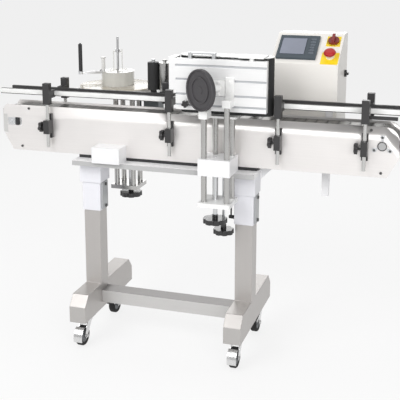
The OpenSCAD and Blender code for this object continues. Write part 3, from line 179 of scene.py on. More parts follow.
def brushedMetal(name, colour, grain, rough=0.36, metallic=0.9, depth=0.00012):
    make = Finish(name)
    streak = make.noise(grain, 1.0, 4.0, 0.6)
    cloud = make.noise(even, 7.0, 3.0)
    shade = streak * 0.45 + cloud * 0.55
    return make.shade({
        "Base Color": make.blend(shade, tone(*colour, 0.90), tone(*colour, 1.07)),
        "Metallic": metallic,
        "Roughness": (streak - 0.5) * 0.22 + (cloud - 0.5) * 0.10 + rough,
        "Normal": make.bump(streak, 0.35, depth),
    })


def paintedSheet(name, colour, rough=0.42, peel=0.00015, coat=0.15):
    make = Finish(name)
    skin = make.noise(even, 620.0, 2.0)
    cloud = make.noise(even, 5.0, 4.0)
    dust = make.noise((1.0, 1.0, 3.0), 38.0, 5.0, 0.65)
    shade = cloud * 0.7 + dust * 0.3
    return make.shade({
        "Base Color": make.blend(shade, tone(*colour, 0.93), tone(*colour, 1.04)),
        "Roughness": rough + (dust - 0.5) * 0.16,
        "Coat Weight": coat,
        "Normal": make.bump(skin, 0.22, peel),
    })


def mouldedPlastic(name, colour, rough=0.45, grain=900.0, depth=0.00012, coat=0.0):
    make = Finish(name)
    pebble = make.noise(even, grain, 2.0)
    cloud = make.noise(even, 14.0, 4.0)
    return make.shade({
        "Base Color": make.blend(cloud, tone(*colour, 0.86), tone(*colour, 1.14)),
        "Roughness": rough + (cloud - 0.5) * 0.18 + (pebble - 0.5) * 0.08,
        "Coat Weight": coat,
        "Normal": make.bump(pebble, 0.3, depth),
    })


def slattedSteel(name, colour, pitch, rough=0.38):  # slats across the belt, with their hinge lines, and painted shade where each slat curls into its hinge
    make = Finish(name)
    parts = make.node("SeparateXYZ", None, {"Vector": make.node("TexCoord", output="Object")})
    along = parts * (1.0 / pitch)
    phase = along.math("FRACT", along)
    hinge = phase.step(0.0, 0.05) * (1.0 - phase.step(0.90, 0.97))
    # painted shade: darker towards each slat's ends, where it curls into the hinge
    curlShade = 1.0 - phase.step(0.12, 0.20) * (1.0 - phase.step(0.70, 0.80))
    streak = make.noise((30.0, 320.0, 30.0), 1.0, 4.0, 0.6)
    worn = make.noise(even, 24.0, 5.0, 0.6)
    shade = (streak * 0.4 + worn * 0.6) * (1.0 - curlShade * 0.35)
    return make.shade({
        "Base Color": make.blend(shade * hinge, tone(*colour, 0.30), tone(*colour, 1.7)),
        "Metallic": 0.85,
        "Roughness": rough + (worn - 0.5) * 0.25,
        "Normal": make.bump(hinge * 0.7 + streak * 0.3, 0.5, 0.0006),
    })


def softRubber(name, colour, rough=0.72):
    make = Finish(name)
    pore = make.noise(even, 420.0, 4.0, 0.7)
    scuff = make.noise(even, 26.0, 5.0, 0.6).step(0.52, 0.74)
    return make.shade({
        "Base Color": make.blend(scuff * 0.6, tone(*colour), tone(*colour, 2.1)),
        "Roughness": rough + pore * 0.16 - scuff * 0.10,
        "Normal": make.bump(pore, 0.35, 0.0002),
    })


def polishedMetal(name, colour, rough=0.09, grain=(20.0, 20.0, 20.0)):
    make = Finish(name)
    haze = make.noise(grain, 1.0, 4.0, 0.6)
    smear = make.noise(even, 11.0, 3.0)
    return make.shade({
        "Base Color": make.blend(smear, tone(*colour, 0.94), tone(*colour, 1.05)),
        "Metallic": 1.0,
        "Roughness": rough + haze * 0.10,
        "Normal": make.bump(haze, 0.06, 0.0001),
    })


def clearPlastic(name, colour, alpha, rough=0.12):
    make = Finish(name)
    smear = make.noise(even, 17.0, 4.0, 0.6)
    return make.shade({
        "Base Color": make.blend(smear, tone(*colour, 0.95), tone(*colour, 1.04)),
        "Roughness": rough + smear * 0.12,
        "Alpha": alpha + smear * 0.12,
        "IOR": 1.49,
        "Coat Weight": 0.4,
    })


addCamera()
addLamps()

recipes = {  # the maker of each finish, and what it is given after the name
    "standSteel": (brushedMetal, (0.50, 0.485, 0.47), (90.0, 6.0, 90.0), 0.40, 0.6),
    # a darker, less metallic copy of the stand steel for the feet's top faces: painted shade
    "footTop": (brushedMetal, (0.38, 0.37, 0.36), (90.0, 6.0, 90.0), 0.50, 0.25),
    "legSteel": (brushedMetal, (0.50, 0.48, 0.465), (220.0, 220.0, 5.0), 0.40, 0.6),
    "barSteel": (brushedMetal, (0.62, 0.61, 0.60), (5.0, 220.0, 220.0), 0.40, 0.6),
    # a darker copy of the bar steel for the crossbar's top faces: painted shade
    "barTop": (brushedMetal, (0.30, 0.29, 0.285), (5.0, 220.0, 220.0), 0.46, 0.5),
    "sleevePaint": (paintedSheet, (0.76, 0.76, 0.80), 0.40),
    "panelSteel": (brushedMetal, (0.86, 0.835, 0.82), (4.0, 160.0, 240.0), 0.42, 0.75),
    "plateSteel": (brushedMetal, (0.74, 0.735, 0.72), (5.0, 120.0, 200.0), 0.40),
    "machinedSteel": (brushedMetal, (0.52, 0.52, 0.52), (60.0, 60.0, 60.0), 0.34),
    "chainSteel": (slattedSteel, (0.20, 0.195, 0.185), 0.0381),
    "zinc": (brushedMetal, (0.70, 0.71, 0.72), (50.0, 50.0, 50.0), 0.30),
    "chrome": (polishedMetal, (0.62, 0.62, 0.63), 0.07),
    "postSteel": (brushedMetal, (0.50, 0.495, 0.485), (260.0, 260.0, 2.0), 0.20, 1.0, 0.0002),
    "alloyPlate": (brushedMetal, (0.70, 0.705, 0.72), (60.0, 60.0, 60.0), 0.40),
    "whitePaint": (paintedSheet, (0.80, 0.80, 0.81)),
    "greyPaint": (paintedSheet, (0.42, 0.43, 0.44)),
    "boxPaint": (paintedSheet, (0.83, 0.805, 0.765), 0.40),
    "motorPaint": (paintedSheet, (0.16, 0.18, 0.19), 0.5),
    "blackPlastic": (mouldedPlastic, (0.022, 0.022, 0.024)),
    "glossBlack": (mouldedPlastic, (0.014, 0.014, 0.015), 0.26, 500.0, 0.0001, 0.3),
    "greyPlastic": (mouldedPlastic, (0.085, 0.092, 0.10), 0.42),
    # white for the label head's guides, and for the front rails' faces, where it is a painted
    # highlight on black rails
    "railWhite": (mouldedPlastic, (0.78, 0.78, 0.77), 0.30, 300.0, 0.0001, 0.2),
    "tyre": (softRubber, (0.018, 0.018, 0.018)),
    "beltRubber": (softRubber, (0.016, 0.016, 0.017), 0.62),
    "rollerRubber": (softRubber, (0.020, 0.020, 0.021), 0.50),
    "platterClear": (clearPlastic, (0.70, 0.64, 0.52), 0.62),
    "coreClear": (clearPlastic, (0.75, 0.74, 0.70), 0.45),
    "screwDark": (brushedMetal, (0.10, 0.10, 0.10), (60.0, 60.0, 60.0), 0.40, 0.6),
    "forkSteel": (brushedMetal, (0.74, 0.74, 0.74), (50.0, 50.0, 50.0), 0.28),
    # a grey for faces painted darker than the rest of their part: painted shade
    "shadeGrey": (paintedSheet, (0.45, 0.45, 0.45)),
    "plateWhite": (paintedSheet, (0.82, 0.82, 0.81), 0.36),
    "panelAlloy": (brushedMetal, (0.90, 0.90, 0.90), (4.0, 120.0, 260.0), 0.42, 0.55),
    # a grey for the wrap panel's grooves: painted shade in the recesses
    "grooveGrey": (paintedSheet, (0.46, 0.47, 0.49), 0.45),
    "clampBlack": (mouldedPlastic, (0.030, 0.029, 0.030), 0.38, 700.0, 0.0001, 0.1),
    "rodSteel": (brushedMetal, (0.62, 0.62, 0.61), (260.0, 260.0, 3.0), 0.20, 1.0, 0.0002),
    "wheelPlastic": (mouldedPlastic, (0.055, 0.052, 0.056), 0.48, 800.0, 0.00012),
    "panelGrey": (mouldedPlastic, (0.050, 0.068, 0.084), 0.40, 800.0),
    "screenGlass": (mouldedPlastic, (0.20, 0.22, 0.28), 0.12, 300.0, 0.00002, 0.6),
    "keyGrey": (mouldedPlastic, (0.11, 0.13, 0.155), 0.40),
    "yellowPlate": (paintedSheet, (0.93, 0.68, 0.005), 0.42),
    "darkRed": (mouldedPlastic, (0.20, 0.010, 0.009), 0.34, 400.0, 0.0001, 0.2),
    "redPlastic": (mouldedPlastic, (0.43, 0.009, 0.012), 0.34, 400.0, 0.0001, 0.2),
}
finishes = {name: maker(name, *values) for name, (maker, *values) in recipes.items()}
print("finishes made:", len(finishes))

plainNodes = ("drive_shaft", "idler_shaft", "wrap_drive_roller", "wrap_idler_roller")

for name in plainNodes:  # the nodes that show as the CAD made them
    for slot in nodes[name].material_slots:
        slot.material = finishes["machinedSteel"]
print("CAD nodes finished")


# Dressed copies of the CAD nodes: soft edges, and a finish for each kind of face

edges = {  # how far each kind of piece is rounded, in metres
    "hair": 0.0004, "fine": 0.0006, "alloy": 0.0007, "sheet": 0.0008, "panel": 0.0009,
    "plate": 0.0010, "box": 0.0012, "block": 0.0014, "cast": 0.0016, "case": 0.0018,
    "frame": 0.0022,
}
roundFrom = 32.0  # edges that turn more than this are rounded, in degrees
weld = 0.00001  # corners nearer than this are one, in metres
flatWithin = 0.6  # faces that turn less than this are one, in degrees

bodies = frame["record"]["behaviour"]["bodies"]
bodyOf = {node: body for body, group in bodies.items() for node in group}


def only(piece):
    bpy.ops.object.select_all(action="DESELECT")
    bpy.context.view_layer.objects.active = piece
    piece.select_set(True)


def keep(piece, kind, settings):  # adds a modifier and applies it
    modifier = piece.modifiers.new("made", kind)
    for key, value in settings.items():
        setattr(modifier, key, value)
    only(piece)
    bpy.ops.object.modifier_apply(modifier=modifier.name)


def soften(piece, width, steps=2):
    keep(piece, "BEVEL", {
        "width": width, "segments": steps, "limit_method": "ANGLE",
        "angle_limit": math.radians(roundFrom), "use_clamp_overlap": True,
        "miter_outer": "MITER_ARC",
    })
    only(piece)
    bpy.ops.object.shade_smooth_by_angle(angle=math.radians(roundFrom))
    settings = {"keep_sharp": True, "weight": 80}  # flat faces stay flat beside round edges
    keep(piece, "WEIGHTED_NORMAL", settings)


def settle(piece, turn=None):  # its place goes into its mesh
    if turn is not None:
        piece.matrix_world = turn @ piece.matrix_world
    only(piece)
    bpy.ops.object.transform_apply(location=True, rotation=True, scale=True)


def paint(piece, looks):  # the first finish is for all faces, a later one where its test holds
    piece.data.materials.clear()
    for finish, test in looks:
        piece.data.materials.append(finishes[finish])
    for face in piece.data.polygons:
        spot = face.center * 1000.0
        face.material_index = 0
        for index, (finish, test) in enumerate(looks):
            if test is not None and test(spot, face.normal):
                face.material_index = index


def dress(node, looks, width, steps=2):
    piece = bpy.data.objects.new(node + "_dressed", nodes[node].data.copy())
    bpy.context.scene.collection.objects.link(piece)
    only(piece)
    bpy.ops.object.mode_set(mode="EDIT")
    bpy.ops.mesh.select_all(action="SELECT")
    bpy.ops.mesh.remove_doubles(threshold=weld)
    bpy.ops.mesh.dissolve_limited(angle_limit=math.radians(flatWithin))
    bpy.ops.object.mode_set(mode="OBJECT")
    soften(piece, width, steps)
    paint(piece, looks)
    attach(piece, bodyOf[node])
    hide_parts(node)


# Stand and casters

casters = {
    "tyre": "tyre", "hub": "greyPlastic", "hubRadius": 24.5,
    "fork": "forkSteel", "pedal": "blackPlastic", "pedalAhead": 42.0, "pedalLow": 46.0,
}
covers = {
    "ahead": 0.0405, "drop": 0.012, "width": 0.034, "thick": 0.0016,
    "turn": 82.0, "steps": 14, "sidesToFill": 6,
}


def dressCasters():
    for corner in ("front_left", "front_right", "rear_left", "rear_right"):
        low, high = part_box("wheel_" + corner)
        middle = (low + high) * 500.0  # in millimetres, as the tests of a face are

        def onHub(spot, normal, at=middle):
            return math.hypot(spot.y - at.y, spot.z - at.z) < casters["hubRadius"]

        def onPedal(spot, normal, at=middle):
            return spot.y < at.y - casters["pedalAhead"] and spot.z > casters["pedalLow"]

        wheelLooks = [(casters["tyre"], None), (casters["hub"], onHub)]
        forkLooks = [(casters["fork"], None), (casters["pedal"], onPedal)]
        dress("wheel_" + corner, wheelLooks, edges["fine"])
        dress("fork_" + corner, forkLooks, edges["fine"])


def addCasterCovers():  # the bent steel cover in front of each front wheel
    for corner in ("front_left", "front_right"):
        low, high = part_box("wheel_" + corner)
        middle = (low + high) / 2.0
        start = (middle.x, middle.y - covers["ahead"], middle.z - covers["drop"])
        bpy.ops.object.select_all(action="DESELECT")
        bpy.ops.mesh.primitive_plane_add(size=1.0, location=start)
        cover = bpy.context.object
        cover.name = "caster_cover_" + corner
        cover.scale = (covers["width"], covers["thick"], 1.0)
        bpy.ops.object.transform_apply(location=True, rotation=True, scale=True)
        bpy.ops.object.mode_set(mode="EDIT")
        bpy.ops.mesh.select_all(action="SELECT")
        turn = math.radians(covers["turn"])
        bpy.ops.mesh.spin(steps=covers["steps"], angle=turn, center=middle, axis=(1.0, 0.0, 0.0))
        bpy.ops.mesh.select_all(action="SELECT")
        bpy.ops.mesh.remove_doubles(threshold=weld)
        bpy.ops.mesh.select_all(action="SELECT")
        bpy.ops.mesh.fill_holes(sides=covers["sidesToFill"])
        bpy.ops.mesh.normals_make_consistent(inside=False)
        bpy.ops.object.mode_set(mode="OBJECT")
        soften(cover, edges["hair"])
        paint(cover, [(casters["fork"], None)])
        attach(cover, "fork_" + corner)


dressCasters()
addCasterCovers()

stand = {"footHigh": 171.0, "footTop": 178.0, "upward": 0.5, "barUpward": 0.7}
sleeves = {"leftScrews": -416.2, "rightScrews": (170.0, 173.8), "screwY": -120.0, "screwReach": 8.0}
clamps = {"rightScrews": 258.5, "leftScrews": -331.5}


def onFoot(spot, normal):
    return spot.z < stand["footHigh"]


# the feet's top faces, which get the darker steel of painted shade
def onShadedFootTop(spot, normal):
    return spot.z < stand["footTop"] and normal.z > stand["upward"]


# the crossbar's upward faces, which get the darker steel of painted shade
def onShadedBarTop(spot, normal):
    return normal.z > stand["barUpward"]


def onSleeveScrew(spot, normal):
    low, high = sleeves["rightScrews"]
    nearScrew = abs(spot.y - sleeves["screwY"]) < sleeves["screwReach"]
    return spot.x < sleeves["leftScrews"] or (nearScrew and low < spot.x < high)


def onClampScrew(spot, normal):
    return spot.x > clamps["rightScrews"] or clamps["leftScrews"] < spot.x < 0.0


# the feet's top faces get a darker copy of the steel: painted shade
legLooks = [("legSteel", None), ("standSteel", onFoot), ("footTop", onShadedFootTop)]
for leg in ("left_leg", "right_leg"):
    dress(leg, legLooks, edges["frame"], 3)
# the crossbar's top faces get a darker copy of its steel: painted shade
dress("crossbar", [("barSteel", None), ("barTop", onShadedBarTop)], edges["frame"], 3)
dress("caster_plates", [("zinc", None)], edges["fine"])
sleeveLooks = [("sleevePaint", None), ("screwDark", onSleeveScrew)]
dress("leg_sleeves", sleeveLooks, edges["cast"], 3)
dress("leg_clamps", [("greyPaint", None), ("screwDark", onClampScrew)], edges["fine"])
print("stand dressed")


# Conveyor

conveyor = {
    "lipY": -180.0, "facingFront": -0.7,
    "endScrews": -735.4,
    "bearingFront": -138.5, "bearingBack": -15.5,
}


# the base plate's front face, painted grey as painted shade on the white plate
def onShadedFrontLip(spot, normal):
    return normal.y < conveyor["facingFront"] and spot.y < conveyor["lipY"]


def onEndScrew(spot, normal):
    return spot.x < conveyor["endScrews"]


def onBearingScrew(spot, normal):
    outside = spot.y < conveyor["bearingFront"] or spot.y > conveyor["bearingBack"]
    return spot.x > 0.0 and outside


# the white base plate gets a grey front face: painted shade
dress("base_plate", [("whitePaint", None), ("shadeGrey", onShadedFrontLip)], edges["box"])
dress("front_box", [("whitePaint", None)], edges["box"])
for side in ("front_panel", "rear_panel"):
    dress(side, [("panelSteel", None)], edges["panel"])
spacerLooks = [("plateSteel", None), ("screwDark", onEndScrew)]
dress("conveyor_spacers", spacerLooks, edges["sheet"])
dress("slat_chain", [("chainSteel", None)], edges["hair"], 1)
dress("chain_bed", [("blackPlastic", None)], edges["sheet"])
bearingLooks = [("zinc", None), ("screwDark", onBearingScrew)]
dress("shaft_bearings", bearingLooks, edges["fine"])
dress("gearmotor", [("motorPaint", None)], edges["cast"], 3)
dress("rail_clamps", [("clampBlack", None)], edges["box"])
print("conveyor dressed")


# Guide rails

rails = {
    "low": 918.0, "high": 938.0, "lip": 2.6, "slack": 0.5, "thick": 13.0,
    "headLow": 891.5, "front": -116.5, "rear": -48.5,
}


def railParts(barFinish, edgeFinish, bar):
    def onBar(spot, normal):
        acrossBar = bar < spot.y < bar + rails["thick"]
        return acrossBar and rails["low"] - rails["slack"] < spot.z < rails["high"] + rails["slack"]

    def onEdge(spot, normal):
        low, high = rails["low"] + rails["lip"], rails["high"] - rails["lip"]
        return onBar(spot, normal) and (spot.z < low or spot.z > high)

    def onRod(spot, normal):
        return spot.z < rails["headLow"]

    return [("clampBlack", None), ("rodSteel", onRod), (barFinish, onBar), (edgeFinish, onEdge)]


# the front rails' faces are painted white between black lips: a painted highlight on the black rail
frontLooks = railParts("railWhite", "clampBlack", rails["front"])
for rail in ("front_left_rail", "front_right_rail"):
    dress(rail, frontLooks, edges["sheet"])
rearLooks = railParts("clampBlack", "clampBlack", rails["rear"])
dress("rear_rail", rearLooks, edges["sheet"])
print("rails dressed")


# Wrap unit

posts = {
    "places": [(98.0, -230.0), (180.0, -230.0), (119.0, -161.0), (180.0, -161.0)],  # x and y
    "reach": 10.4,
}
grooves = {"front": -191.4, "back": -188.0, "middle": 132.0, "half": 172.0}
handles = {"starLow": 1085.0, "downward": -0.7}
handwheels = {"lift_wheel": 545.0, "cross_wheel": 553.0, "head_wheel": 545.0}  # steel above this


def onPost(spot, normal):
    near = any(math.hypot(spot.x - x, spot.y - y) < posts["reach"] for x, y in posts["places"])
    return abs(normal.z) < 0.5 and near


# the recessed groove faces of the wrap panel, painted grey as painted shade
def onShadedGroove(spot, normal):
    inside = abs(spot.x - grooves["middle"]) < grooves["half"]
    return inside and grooves["front"] < spot.y < grooves["back"]


def onStar(spot, normal):
    return spot.z > handles["starLow"]


# the handle stars' undersides, painted grey as painted shade
def onShadedStarUnderside(spot, normal):
    return onStar(spot, normal) and normal.z < handles["downward"]


dress("guide_block", [("whitePaint", None)], edges["block"], 3)
dress("lift_posts", [("plateWhite", None), ("postSteel", onPost)], edges["panel"])
# the alloy panel's grooves are painted grey: painted shade
dress("wrap_panel", [("panelAlloy", None), ("grooveGrey", onShadedGroove)], edges["alloy"])
dress("wrap_frame", [("plateWhite", None)], edges["alloy"])
dress("wrap_belt", [("beltRubber", None)], edges["alloy"])
dress("wrap_motor", [("motorPaint", None)], edges["plate"])
# the stars' downward faces get a grey: painted shade
handleLooks = [("glossBlack", None), ("zinc", onStar), ("shadeGrey", onShadedStarUnderside)]
dress("wrap_handles", handleLooks, edges["plate"])
for wheel, top in handwheels.items():
    wheelLooks = [("glossBlack", None), ("zinc", lambda spot, normal, low=top: spot.z > low)]
    dress(wheel, wheelLooks, edges["frame"], 3)
dress("black_wheel", [("wheelPlastic", None)], edges["alloy"])
dress("wheel_bracket", [("plateWhite", None)], edges["panel"])
print("wrap unit dressed")


# Label head

reel = {"x": -375.0, "y": 148.0, "mandrel": 12.5, "mandrelLow": 984.0}
head = {"guidesLow": 921.0, "armHigh": 962.0, "spindleLow": 1031.5}


def onMandrel(spot, normal):
    nearAxis = math.hypot(spot.x - reel["x"], spot.y - reel["y"]) < reel["mandrel"]
    return nearAxis and spot.z > reel["mandrelLow"]


def onGuides(spot, normal):
    return spot.z > head["guidesLow"]


def onArmFoot(spot, normal):
    return spot.z < head["armHigh"]


def onSpindle(spot, normal):
    return spot.z > head["spindleLow"]


dress("head_block", [("alloyPlate", None)], edges["box"])
dress("head_column", [("postSteel", None)], edges["sheet"])
dress("head_plate", [("plateWhite", None), ("railWhite", onGuides)], edges["plate"])
dress("supply_platter", [("platterClear", None)], edges["plate"])
dress("core_holder", [("coreClear", None), ("chrome", onMandrel)], edges["sheet"])
armLooks = [("blackPlastic", None), ("alloyPlate", onArmFoot)]
dress("dancer_arm", armLooks, edges["sheet"])
dress("rubber_roller", [("rollerRubber", None), ("zinc", onSpindle)], edges["sheet"])
dress("chrome_roller", [("postSteel", None)], edges["sheet"])
dress("peel_plate", [("machinedSteel", None)], edges["fine"])
dress("head_motor", [("motorPaint", None)], edges["box"])
print("label head dressed")


# Control box

dress("control_box", [("boxPaint", None)], edges["case"], 3)
dress("box_bracket", [("whitePaint", None)], edges["sheet"])
dress("touch_panel", [("panelGrey", None)], edges["cast"], 3)
dress("stop_button", [("redPlastic", None)], edges["sheet"])
dress("main_switch", [("darkRed", None)], edges["frame"], 3)
dress("box_latch", [("glossBlack", None)], edges["box"])

slope = {"x": 283.0, "y": 23.0, "z": 1058.0, "turn": 32.8729}  # the fold, at the screen's left edge
screen = {"width": 144.0, "height": 127.0, "up": 22.0, "top": 9.0}
glassPlate = {
    "width": 0.62, "height": 0.70, "across": 0.38, "up": 0.52,  # as shares of the screen
    "thick": 0.9, "corner": 1.5, "rim": 1.2, "raised": 0.25, "drop": 1.3,
}
keys = {
    "count": 6, "across": 0.86, "firstUp": 0.22, "stepUp": 0.121,  # as shares of the screen
    "width": 20.0, "height": 11.0, "thick": 1.0, "corner": 2.0,
    "rim": 1.4, "raised": 0.5, "drop": 0.2,
}
legend = {"across": 194.0, "corner": 2.5, "rim": 1.6, "sunk": 0.15, "edge": 0.0002}
legends = [("stop_legend", 34.0, 62.0, 64.0, 1.6), ("switch_legend", 130.0, 50.0, 56.0, 1.15)]


def onSlope(across, up, out):  # a turn and place on the sloped face, in millimetres from the fold
    place = Matrix.Translation(Vector((slope["x"], slope["y"], slope["z"])) / 1000.0)
    tilt = Matrix.Rotation(math.radians(slope["turn"]), 4, "X")
    return place @ tilt @ Matrix.Translation(Vector((across, up, out)) / 1000.0)


cornerSteps = 5
pieceEdge = 0.0003  # how far a small plate is rounded, in metres


def flatPlate(name, width, height, thick, corner):  # a plate with round corners, standing on z = 0
    bpy.ops.object.select_all(action="DESELECT")
    bpy.ops.mesh.primitive_cube_add(size=1.0, location=(0.0, 0.0, thick / 2000.0))
    piece = bpy.context.object
    piece.name = name
    piece.scale = (width / 1000.0, height / 1000.0, thick / 1000.0)
    bpy.ops.object.transform_apply(location=True, rotation=True, scale=True)
    bpy.ops.object.mode_set(mode="EDIT")
    bpy.ops.mesh.select_all(action="DESELECT")
    bpy.ops.object.mode_set(mode="OBJECT")
    for edge in piece.data.edges:
        first, last = (piece.data.vertices[i].co for i in edge.vertices)
        edge.select = abs(first.z - last.z) > thick / 2000.0
    bpy.ops.object.mode_set(mode="EDIT")
    bpy.ops.mesh.select_mode(type="EDGE")
    bpy.ops.mesh.bevel(offset=corner / 1000.0, segments=cornerSteps, affect="EDGES")
    bpy.ops.object.mode_set(mode="OBJECT")
    return piece


def insetTop(piece, border, depth):  # a step round the top face
    height = max(vertex.co.z for vertex in piece.data.vertices)
    for face in piece.data.polygons:
        face.select = face.normal.z > 0.9 and face.center.z > height - 0.0001
    only(piece)
    bpy.ops.object.mode_set(mode="EDIT")
    bpy.ops.mesh.select_mode(type="FACE")
    bpy.ops.mesh.inset(thickness=border / 1000.0, depth=0.0)
    bpy.ops.mesh.extrude_region_move(TRANSFORM_OT_translate={"value": (0.0, 0.0, depth / 1000.0)})
    bpy.ops.mesh.select_all(action="DESELECT")
    bpy.ops.object.mode_set(mode="OBJECT")


def finishPiece(piece, body, finish, turn, width=pieceEdge):
    settle(piece, turn)
    soften(piece, width)
    paint(piece, [(finish, None)])
    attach(piece, body)


def addGlass():
    plate = glassPlate
    width, height = screen["width"] * plate["width"], screen["height"] * plate["height"]
    glass = flatPlate("screen_glass", width, height, plate["thick"], plate["corner"])
    insetTop(glass, plate["rim"], plate["raised"])
    across, up = screen["width"] * plate["across"], screen["up"] + screen["height"] * plate["up"]
    turn = onSlope(across, up, screen["top"] - plate["drop"])
    finishPiece(glass, "upper", "screenGlass", turn)


def addKeys():
    for index in range(keys["count"]):
        name = "screen_key_%d" % (index + 1)
        key = flatPlate(name, keys["width"], keys["height"], keys["thick"], keys["corner"])
        insetTop(key, keys["rim"], keys["raised"])
        up = screen["up"] + screen["height"] * (keys["firstUp"] + keys["stepUp"] * index)
        turn = onSlope(screen["width"] * keys["across"], up, screen["top"] - keys["drop"])
        finishPiece(key, "upper", "keyGrey", turn)


def addLegends():  # the yellow plates under the stop button and the main switch, without text
    for name, up, width, height, thick in legends:
        plate = flatPlate(name, width, height, thick, legend["corner"])
        insetTop(plate, legend["rim"], -legend["sunk"])
        turn = onSlope(legend["across"], up, 0.0)
        finishPiece(plate, "upper", "yellowPlate", turn, legend["edge"])


addGlass()
addKeys()
addLegends()
print("control box dressed")


door = {"width": 196.0, "height": 300.0, "thick": 2.0, "corner": 7.0, "rim": 7.0, "sunk": 0.8}
louvres = {
    "count": 7, "step": 12.0, "first": -118.0, "out": 0.9,
    "width": 90.0, "height": 5.0, "thick": 3.0, "corner": 1.5, "rim": 1.2, "raised": 0.6,
}
# the black plate that stands for the shade in the hole beside the take-up block: painted shade
takeUp = {
    "place": (-673.0, -132.0, 816.0),
    "width": 13.0, "height": 30.0, "thick": 0.8, "corner": 2.0, "rim": 1.5, "sunk": 0.5,
}


def at(x, y, z):  # a place in millimetres
    return Matrix.Translation(Vector((x, y, z)) / 1000.0)


def addDoor():  # the rear cover of the box, with its louvres
    low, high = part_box("control_box")
    x = (low.x + high.x) * 500.0
    z = (low.z + high.z) * 500.0
    back = high.y * 1000.0
    facing = Matrix.Rotation(math.pi, 4, "Z") @ Matrix.Rotation(math.pi / 2, 4, "X")
    panel = flatPlate("rear_cover", door["width"], door["height"], door["thick"], door["corner"])
    insetTop(panel, door["rim"], -door["sunk"])
    finishPiece(panel, "upper", "boxPaint", at(x, back, z) @ facing)
    for index in range(louvres["count"]):
        name = "rear_louvre_%d" % (index + 1)
        louvre = flatPlate(
            name, louvres["width"], louvres["height"], louvres["thick"], louvres["corner"])
        insetTop(louvre, louvres["rim"], louvres["raised"])
        place = at(x, back + louvres["out"], z + louvres["first"] + index * louvres["step"])
        finishPiece(louvre, "upper", "boxPaint", place @ facing)


def addTakeUp():  # a black plate with a sunk face beside the take-up block: painted shade standing for the hole
    hole = flatPlate(
        "take_up_hole_shade", takeUp["width"], takeUp["height"], takeUp["thick"], takeUp["corner"])
    insetTop(hole, takeUp["rim"], -takeUp["sunk"])
    turn = at(*takeUp["place"]) @ Matrix.Rotation(math.pi / 2, 4, "X")
    finishPiece(hole, "upper", "blackPlastic", turn)


addDoor()
addTakeUp()
print("cover and take-up added")


# Cable beside the right leg

cable = {
    "diameter": 0.006,
    "y": -112.0,
    "knots": [  # x and z, as in part.scad
        (168.0, 689.0), (168.0, 669.0), (163.0, 629.0), (165.0, 579.0), (164.0, 513.0),
    ],
    "stepsPerKnot": 6,
    "roundSteps": 4,
}
collars = {"sides": 24, "edge": 0.0005}
relief = {"radius": 0.0066, "neck": 0.62, "length": 0.020, "rim": 0.3, "raised": 0.4}
gland = {
    "radius": 0.0072, "neck": 0.86, "sleeveX": 0.1805, "past": 0.007, "rim": 1.6, "raised": 0.8,
}


def cableRoute():  # a smooth line through the knots, in metres
    knots = [Vector((x / 1000.0, cable["y"] / 1000.0, z / 1000.0)) for x, z in cable["knots"]]
    route = []
    for index in range(len(knots) - 1):
        before = knots[max(index - 1, 0)]
        start, end = knots[index], knots[index + 1]
        after = knots[min(index + 2, len(knots) - 1)]
        rise = end - before
        bend = 2.0 * before - 5.0 * start + 4.0 * end - after
        twist = 3.0 * start - before - 3.0 * end + after
        for step in range(cable["stepsPerKnot"]):
            t = step / cable["stepsPerKnot"]
            route.append(0.5 * (2.0 * start + rise * t + bend * t * t + twist * t ** 3))
    return route + [knots[-1]]


def addCollar(name, radiusLow, radiusHigh, length, rim, raised, turn):  # with a step at its end
    bpy.ops.object.select_all(action="DESELECT")
    bpy.ops.mesh.primitive_cone_add(
        vertices=collars["sides"], radius1=radiusLow, radius2=radiusHigh, depth=length,
        location=(0.0, 0.0, length / 2.0))
    piece = bpy.context.object
    piece.name = name
    settle(piece)
    insetTop(piece, rim, raised)
    finishPiece(piece, "upper", "blackPlastic", turn, collars["edge"])
    return piece


def addRelief(start):  # where the cable leaves the bed
    turn = Matrix.Translation(start) @ Matrix.Rotation(math.pi, 4, "X")
    return addCollar(
        "cable_relief", relief["radius"], cable["diameter"] * relief["neck"], relief["length"],
        relief["rim"], relief["raised"], turn)


def addGland(end):  # where the cable goes into the sleeve
    sleeve = Matrix.Translation((gland["sleeveX"], end.y, end.z))
    turn = sleeve @ Matrix.Rotation(-math.pi / 2, 4, "Y")
    return addCollar(
        "cable_gland", gland["radius"], gland["radius"] * gland["neck"],
        gland["sleeveX"] - end.x + gland["past"], gland["rim"], gland["raised"], turn)


def addCable():
    route = cableRoute()
    length = sum((after - before).length for before, after in zip(route, route[1:]))
    data = bpy.data.curves.new("leg_cable_cord", "CURVE")
    data.dimensions = "3D"
    data.bevel_depth = cable["diameter"] / 2.0
    data.bevel_resolution = cable["roundSteps"]
    data.use_fill_caps = True
    line = data.splines.new("POLY")
    line.points.add(len(route) - 1)
    for point, place in zip(line.points, route):
        point.co = (place.x, place.y, place.z, 1.0)
    data.materials.append(finishes["blackPlastic"])
    cord = bpy.data.objects.new("leg_cable_cord", data)
    bpy.context.scene.collection.objects.link(cord)
    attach(cord, "upper")
    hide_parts("leg_cable")
    ends = [addRelief(route[0]), addGland(route[-1])]


addCable()
print("cable hung")


# Screws

